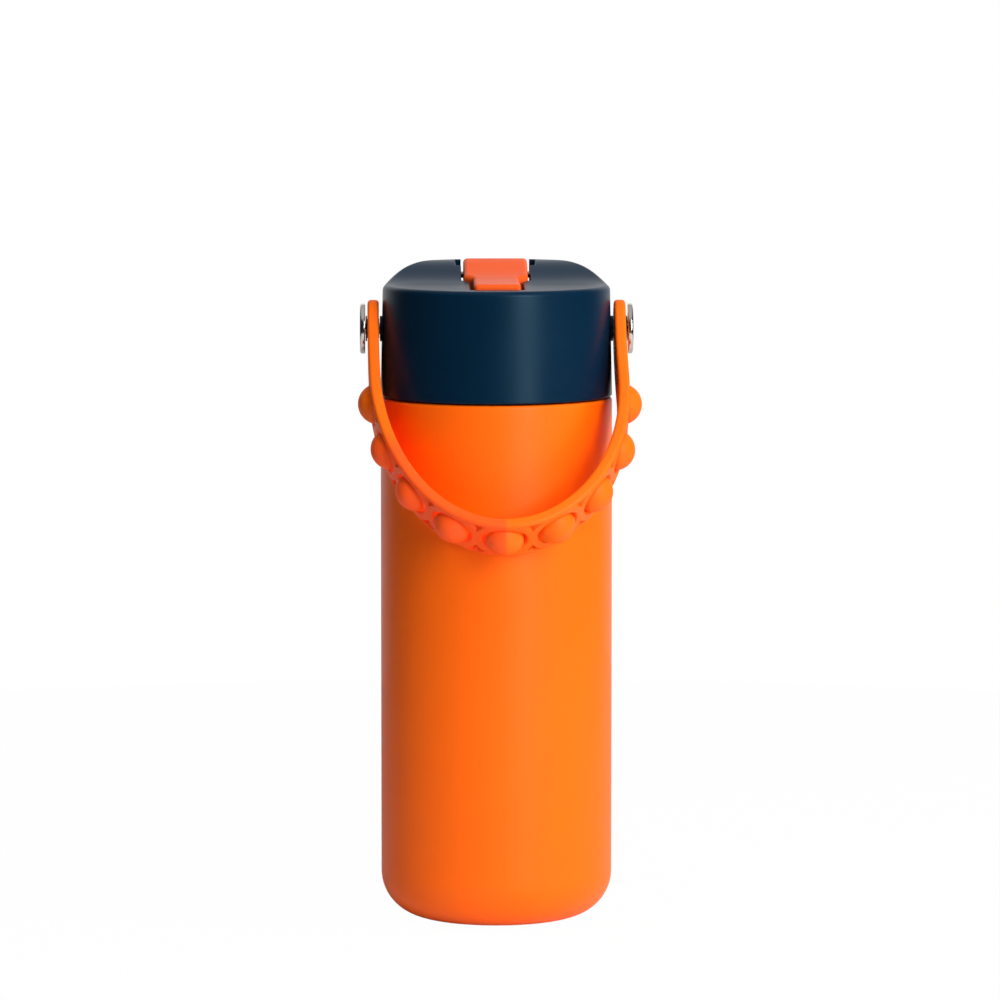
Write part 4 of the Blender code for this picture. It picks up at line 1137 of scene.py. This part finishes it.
@dataclass
class Strap:
    """Moulded carry strap with its bubble seats, and the bubbles that ride in them."""

    width: float = 0.0170
    thickness: float = 0.0034
    inner: float = 0.0355
    arm: float = 0.0220
    bow: float = 0.0497
    sway: float = 0.0020
    sway_depth: float = 0.0600
    rest_gap: float = 0.0013
    tab: float = 0.0087
    edge: float = 0.0010
    eyelet: float = 0.0032
    eyelet_reach: float = 0.0085
    count: int = 9
    pitch: float = 0.0169
    dome_radius: float = 0.0057
    dome_height: float = 0.00385
    dome_wall: float = 0.0009
    dome_skirt: float = 0.0010
    seat: float = 0.0060
    groove_along: float = 0.0073
    groove_across: float = 0.0063
    groove_depth: float = 0.0018
    pocket_radius: float = 0.0093
    pocket_depth: float = 0.0015
    pocket_slope: float = 0.0004
    rail: float = 0.0012
    side_steps: int = 16
    ring_steps: int = 12
    edge_steps: int = 5
    dome_steps: int = 16
    dome_facets: int = 64
    turn_points: int = 1600
    arm_points: int = 400
    bend_span: float = 0.002
    merge: float = 2e-6

    def __post_init__(self) -> None:
        """Set out the strap's path: inner face, outward normals and length along the outer face."""
        turn = np.linspace(0.0, pi, self.turn_points)
        arm = np.linspace(0.0, self.arm, self.arm_points, endpoint=False)
        straight = np.full_like(arm, self.inner)
        side = np.concatenate([-straight, -self.inner * np.cos(turn), straight])
        depth = np.concatenate([arm, self.arm + self.bow * np.sin(turn), arm[::-1]])
        side = side + self.sway * np.sin(pi / 2 * np.minimum(1.0, depth / self.sway_depth)) ** 2
        run = np.concatenate([[0.0], np.cumsum(np.hypot(np.diff(side), np.diff(depth)))])
        even = np.linspace(0.0, run[-1], self.turn_points + 1)
        self.path = np.column_stack([np.interp(even, run, side), np.interp(even, run, depth)])
        ahead = np.gradient(self.path, axis=0)
        ahead = ahead / np.hypot(ahead[:, 0], ahead[:, 1])[:, None]
        self.out = np.column_stack([-ahead[:, 1], ahead[:, 0]])
        self.out[0], self.out[-1] = (-1.0, 0.0), (1.0, 0.0)
        outer = self.path + self.thickness * self.out
        steps = np.hypot(np.diff(outer[:, 0]), np.diff(outer[:, 1]))
        self.run = np.concatenate([[0.0], np.cumsum(steps)])
        self.length = float(self.run[-1])
        drop = self.arm + self.bow
        reach = hypot(drop, self.width / 2)
        lean = asin((DATUM.body_radius + self.rest_gap) / reach) + atan2(self.width / 2, drop)
        self.frame = Matrix.Translation((0.0, 0.0, DATUM.stud_z)) @ Matrix.Rotation(-lean, 4, "X")
        first = self.length / 2 - (self.count - 1) / 2 * self.pitch
        self.centres = [first + self.pitch * index for index in range(self.count)]

    def place(self, along: np.ndarray, across: np.ndarray, out: np.ndarray) -> list[Point3]:
        """Turn places on the strap into points of the resting bottle.

        Args:
            along: Lengths from the left stud's axis, along the outer face.
            across: Places across the width, negative at the rear edge of a hanging strap.
            out: Heights above the inner face.

        Returns:
            One point for each place.
        """
        held = np.clip(along, 0.0, self.length)
        base = [np.interp(held, self.run, self.path[:, axis]) for axis in (0, 1)]
        out_x, out_d = (np.interp(held, self.run, self.out[:, axis]) for axis in (0, 1))
        norm = np.hypot(out_x, out_d)
        depth = base[1] - np.abs(along - held) + out * out_d / norm
        local = np.column_stack([base[0] + out * out_x / norm, across, -depth, np.ones_like(depth)])
        return [tuple(point) for point in (local @ np.array(self.frame).T)[:, :3]]

    def relief(self, along: np.ndarray, across: np.ndarray, index: int) -> np.ndarray:
        """Relief of the outer face around one bubble: a crescent groove and corner pockets.

        Args:
            along: Lengths from the bubble's centre.
            across: Places across the width.
            index: Number of the bubble from the left, from zero.

        Returns:
            Heights against the plain outer face, negative inwards.
        """
        oval = np.hypot(along / self.groove_along, across / self.groove_across)
        groove = step_up((1.0 - oval) / (1.0 - self.seat / self.groove_along))
        here = np.hypot(along, across) - self.pocket_radius
        there = np.hypot(self.pitch - np.abs(along), across) - self.pocket_radius
        inside = self.width / 2 - self.rail - np.abs(across)
        pocket = step_up(np.minimum(np.minimum(here, there), inside) / self.pocket_slope)
        if index == 0:
            pocket = np.where(along < 0.0, 0.0, pocket)
        if index == self.count - 1:
            pocket = np.where(along > 0.0, 0.0, pocket)
        return -self.groove_depth * groove - self.pocket_depth * pocket

    def cell_rim(self, left: float, right: float) -> list[Point2]:
        """Rim of a straight stretch of the strap, once around from its right rear corner."""
        half, count = self.width / 2 - self.edge, self.side_steps
        rim = [(right, across) for across in even_steps(-half, half, count)]
        rim += [(along, half) for along in even_steps(right, left, count)]
        rim += [(left, across) for across in even_steps(half, -half, count)]
        return rim + [(along, -half) for along in even_steps(left, right, count)]

    def tab_rim(self, axis: float, right: float) -> list[Point2]:
        """Rim of the left tab, with its round end beyond the stud's axis."""
        half, count = self.width / 2 - self.edge, self.side_steps
        reach = self.tab - self.edge
        rim = [(right, across) for across in even_steps(-half, half, count)]
        rim += [(along, half) for along in even_steps(right, axis, count // 2)]
        turns = [pi / 2 + pi * k / (2 * count) for k in range(2 * count)]
        rim += [(axis + reach * cos(a), half * sin(a)) for a in turns]
        return rim + [(along, -half) for along in even_steps(axis, right, count // 2)]

    def holed(
        self, made: MeshData, rim: Sequence[Point2], centre: float, radius: float, index: int | None
    ) -> None:
        """Add a stretch with a round hole: both faces and the wall of the hole.

        Args:
            made: Mesh that gets the stretch.
            rim: Places along and across on its rim, once around.
            centre: Place of the hole along the strap.
            radius: Radius of the hole on the outer face.
            index: Number of the bubble in the hole, or None at an eyelet.
        """
        edge = np.array(rim)
        turns = np.arctan2(edge[:, 1], edge[:, 0] - centre)
        bend = self.curve_at(centre)
        lip = 0.0 if index is None else self.groove_depth
        rows, count = self.ring_steps, len(rim)
        rings: list[list[Point3]] = []
        for outside, sunk in ((True, lip), (False, self.thickness)):
            wider = radius / (1.0 - bend * sunk)
            hole = np.column_stack([centre + wider * np.cos(turns), radius * np.sin(turns)])
            shares = np.linspace(1.0, 0.0, rows + 1) if outside else np.linspace(0.0, 1.0, rows + 1)
            for share in shares:
                spot = hole + (edge - hole) * share
                height = np.zeros(count)
                if outside:
                    height += self.thickness
                    if index is not None:
                        height += self.relief(spot[:, 0] - centre, spot[:, 1], index)
                rings.append(self.place(spot[:, 0], spot[:, 1], height))
        made.add([point for ring in rings for point in ring], quads(len(rings), count))

    def curve_at(self, along: float) -> float:
        """Curvature of the outer face at a place along the strap, in radians for each metre."""
        near = np.array([along - self.bend_span, along + self.bend_span])
        out = np.column_stack([np.interp(near, self.run, self.out[:, axis]) for axis in (0, 1)])
        return float(np.hypot(*(out[1] - out[0]))) / (2.0 * self.bend_span)

    def plain(self, made: MeshData, left: float, right: float) -> None:
        """Add a plain stretch between two places along the strap: both faces."""
        half, count = self.width / 2 - self.edge, self.side_steps + 1
        across, along = np.meshgrid(np.linspace(-half, half, count), np.linspace(left, right, count))
        for height in (self.thickness, 0.0):
            points = self.place(along.ravel(), across.ravel(), np.full(along.size, height))
            made.add(points, quads(count, count, ring=False))

    def hem(self, made: MeshData, line: Sequence[Point2], out: Sequence[Point2]) -> None:
        """Add the rounded edge between both faces along part of the outline.

        Args:
            made: Mesh that gets the edge.
            line: Places along and across where the faces end.
            out: Direction of the edge at each place, in the strap's own plane.
        """
        quarter = [pi / 2 * k / self.edge_steps for k in range(self.edge_steps + 1)]
        profile = [(self.edge * sin(a), self.thickness - self.edge * (1.0 - cos(a))) for a in quarter]
        profile += [(reach, self.thickness - height) for reach, height in reversed(profile)]
        spots, ways = np.array(line), np.array(out)
        points: list[Point3] = []
        for reach, height in profile:
            spot = spots + ways * reach
            points += self.place(spot[:, 0], spot[:, 1], np.full(len(spots), height))
        made.add(points, quads(len(profile), len(line), ring=False))

    def band(self) -> MeshData:
        """Whole strap: two tabs with eyelets, plain stretches, bubble seats and rounded edges."""
        made = MeshData()
        half, count = self.width / 2 - self.edge, self.side_steps
        reach = self.eyelet_reach
        first, last = self.centres[0] - self.pitch / 2, self.centres[-1] + self.pitch / 2
        left_rim = self.tab_rim(0.0, reach)
        right_rim = [(self.length - along, across) for along, across in left_rim]
        self.holed(made, left_rim, 0.0, self.eyelet, None)
        self.holed(made, right_rim, self.length, self.eyelet, None)
        self.plain(made, reach, first)
        far = self.length - reach
        self.plain(made, last, far)
        stops = even_steps(0.0, reach, count // 2) + even_steps(reach, first, count)
        for index, centre in enumerate(self.centres):
            left, right = centre - self.pitch / 2, centre + self.pitch / 2
            self.holed(made, self.cell_rim(left, right), centre, self.seat, index)
            stops += even_steps(left, right, count)
        stops += even_steps(last, far, count) + even_steps(far, self.length, count // 2) + [self.length]
        for side in (-1.0, 1.0):
            self.hem(made, [(stop, side * half) for stop in stops], [(0.0, side)] * len(stops))
        turns = [pi / 2 + pi * k / (2 * count) for k in range(2 * count + 1)]
        tab = self.tab - self.edge
        ways = [Vector((cos(a) / tab, sin(a) / half)).normalized() for a in turns]
        end = [(tab * cos(a), half * sin(a)) for a in turns]
        self.hem(made, end, [tuple(way) for way in ways])
        self.hem(made, [(self.length - x, y) for x, y in end], [(-way.x, way.y) for way in ways])
        return made

    def dome(self) -> MeshData:
        """Hollow bubble about Z, with the strap's outer face at zero."""
        def arc(radius: float, height: float) -> list[Point2]:
            """Run from the top of a dome down to its rim."""
            ball = (radius * radius + height * height) / (2.0 * height)
            rim = asin(radius / ball)
            turns = [rim * k / self.dome_steps for k in range(self.dome_steps + 1)]
            return [(ball * sin(a), height - ball + ball * cos(a)) for a in turns]

        bore = self.dome_radius - self.dome_wall
        outside = arc(self.dome_radius, self.dome_height)
        inside = arc(bore, self.dome_height - self.dome_wall)
        skirt = [(self.dome_radius, -self.dome_skirt), (bore, -self.dome_skirt)]
        return lathe(outside + skirt + inside[::-1], self.dome_facets)

    def dress(self, wardrobe: Wardrobe) -> None:
        """Build the strap and its bubbles and give them their finish.

        Args:
            wardrobe: Finishes and frame.
        """
        band = self.band().to_object("bubble_strap", self.merge)
        wardrobe.hand_over(band, "strap", Slot.strap_silicone, ["strap"])
        for index, centre in enumerate(self.centres, start=1):
            spot = [float(np.interp(centre, self.run, self.path[:, axis])) for axis in (0, 1)]
            out = [float(np.interp(centre, self.run, self.out[:, axis])) for axis in (0, 1)]
            x, depth = (spot[axis] + self.thickness * out[axis] for axis in (0, 1))
            lay = Matrix.Translation((x, 0.0, -depth)) @ Matrix.Rotation(atan2(out[0], -out[1]), 4, "Y")
            piece = self.dome().moved(self.frame @ lay).to_object(f"bubble_{index}")
            wardrobe.hand_over(piece, f"popper_{index}", Slot.strap_silicone, [f"popper_{index}"])


@dataclass(frozen=True)
class SoftBox:
    """Rectangular studio lamp: where it stands, what it points at, its size and its strength."""

    name: str
    azimuth: float
    elevation: float
    distance: float
    size: Point2
    watts: float
    mirrored: bool = True
    aim: Point3 = (0.0, 0.0, 0.11)

    def build(self) -> None:
        """Add the lamp to the scene; azimuth zero is in front of the bottle, positive to its right."""
        lamp = bpy.data.lights.new(self.name, "AREA")
        lamp.shape, lamp.energy = "RECTANGLE", self.watts
        lamp.size, lamp.size_y = self.size
        turn, rise = radians(self.azimuth), radians(self.elevation)
        flat = self.distance * cos(rise)
        way = Vector((flat * sin(turn), -flat * cos(turn), self.distance * sin(rise)))
        made = bpy.data.objects.new(self.name, lamp)
        made.visible_glossy = self.mirrored
        turn_to(made, Vector(self.aim) + way, self.aim)


@dataclass
class Studio:
    """Camera, pale floor, white surroundings and soft light."""

    camera_distance: float = 1.800
    camera_height: float = 0.309
    camera_azimuth: float = -0.9
    aim: Point3 = (0.0011, 0.0, 0.127)
    lens: float = 215.0
    sensor: float = 36.0
    floor_radius: float = 0.55
    floor_gap: float = 0.0002
    fill: float = 0.09
    gloom: float = 0.02
    wall_edges: Point2 = (0.45, 0.92)
    wall_top: Point2 = (1.1, 0.45)
    roof_edges: Point2 = (0.55, 0.85)
    roof: float = 0.6
    floor_glow: float = 0.985
    floor_paint: str = "#F4F4F4"
    floor_roughness: float = 0.9
    far_clip: float = 20.0
    boxes: Sequence[SoftBox] = (
        SoftBox("key_softbox", 29.0, 20.0, 1.15, (0.32, 0.85), 11.0),
        SoftBox("right_softbox", 75.0, 18.0, 1.0, (0.5, 0.7), 5.6, mirrored=False),
        SoftBox("top_softbox", 20.0, 74.0, 0.9, (0.6, 0.6), 4.0, mirrored=False),
    )

    def camera(self) -> None:
        """Add the camera at the photograph's viewing angle."""
        data = bpy.data.cameras.new("front_camera")
        data.lens, data.sensor_width, data.clip_end = self.lens, self.sensor, self.far_clip
        turn, away = radians(self.camera_azimuth), self.camera_distance
        made = bpy.data.objects.new("front_camera", data)
        turn_to(made, Vector((away * sin(turn), -away * cos(turn), self.camera_height)), self.aim)
        bpy.context.scene.camera = made

    def floor(self) -> None:
        """Lay a pale round floor that is nearly white to the camera and still takes the shadow."""
        outline = circle((0.0, 0.0), self.floor_radius, 96)
        points = [(x, y, -self.floor_gap) for x, y in outline]
        piece = MeshData(points, [tuple(range(len(points)))]).to_object("pale_floor")
        paint = bpy.data.materials.new("matt_white_floor_paint")
        paint.use_nodes = True
        tree = paint.node_tree
        shader = tree.nodes["Principled BSDF"]
        shader.inputs["Base Color"].default_value = linear(self.floor_paint)
        shader.inputs["Roughness"].default_value = self.floor_roughness
        shader.inputs["Specular IOR Level"].default_value = 0.0
        glow = add_node(tree, "ShaderNodeEmission", None, {"Color": WHITE, "Strength": 1.0})
        ray = add_node(tree, "ShaderNodeLightPath")
        share = calculate(tree, "MULTIPLY", ray.outputs["Is Camera Ray"], self.floor_glow)
        mix = add_node(
            tree, "ShaderNodeMixShader", None,
            {0: share, 1: shader.outputs["BSDF"], 2: glow.outputs["Emission"]},
        )
        tree.links.new(mix.outputs["Shader"], tree.nodes["Material Output"].inputs["Surface"])
        piece.data.materials.append(paint)

    def surroundings(self) -> None:
        """White to the camera, a pale wall and roof in reflections, and dim as light on the bottle."""
        world = bpy.data.worlds.new("white_studio")
        world.use_nodes = True
        bpy.context.scene.world = world
        tree = world.node_tree
        ray = add_node(tree, "ShaderNodeLightPath")
        seen, through = ray.outputs["Is Camera Ray"], ray.outputs["Is Transmission Ray"]
        way = add_node(tree, "ShaderNodeTexCoord").outputs["Generated"]
        parts = add_node(tree, "ShaderNodeSeparateXYZ", None, {"Vector": way})
        behind = fade(tree, parts.outputs["Y"], self.wall_edges)
        wall = calculate(tree, "MULTIPLY", behind, fade(tree, parts.outputs["Z"], self.wall_top))
        roof = fade(tree, parts.outputs["Z"], self.roof_edges, (self.gloom, self.roof))
        mirror = calculate(tree, "MAXIMUM", wall, roof)
        dim = blend(tree, ray.outputs["Is Glossy Ray"], self.fill, mirror, colours=False)
        level = blend(tree, calculate(tree, "MAXIMUM", seen, through), dim, 1.0, colours=False)
        shader = tree.nodes["Background"]
        shader.inputs["Color"].default_value = WHITE
        tree.links.new(level, shader.inputs["Strength"])

    def build(self) -> None:
        """Set up the camera, the floor, the surroundings and the lamps."""
        bpy.context.scene.view_settings.view_transform = "Standard"
        self.camera()
        self.floor()
        self.surroundings()
        for box in self.boxes:
            box.build()


def main() -> None:
    """Load the frame, set up the studio, and build and dress every sub-assembly."""
    logging.basicConfig(level=logging.INFO, format="%(name)s: %(message)s")
    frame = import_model()
    Studio().build()
    wardrobe = Wardrobe(frame["nodes"])
    for assembly in (Bottle(), Lid(), Spout(), Studs(), Strap()):
        assembly.dress(wardrobe)
    bpy.context.view_layer.update()


if __name__ == "__main__":
    main()
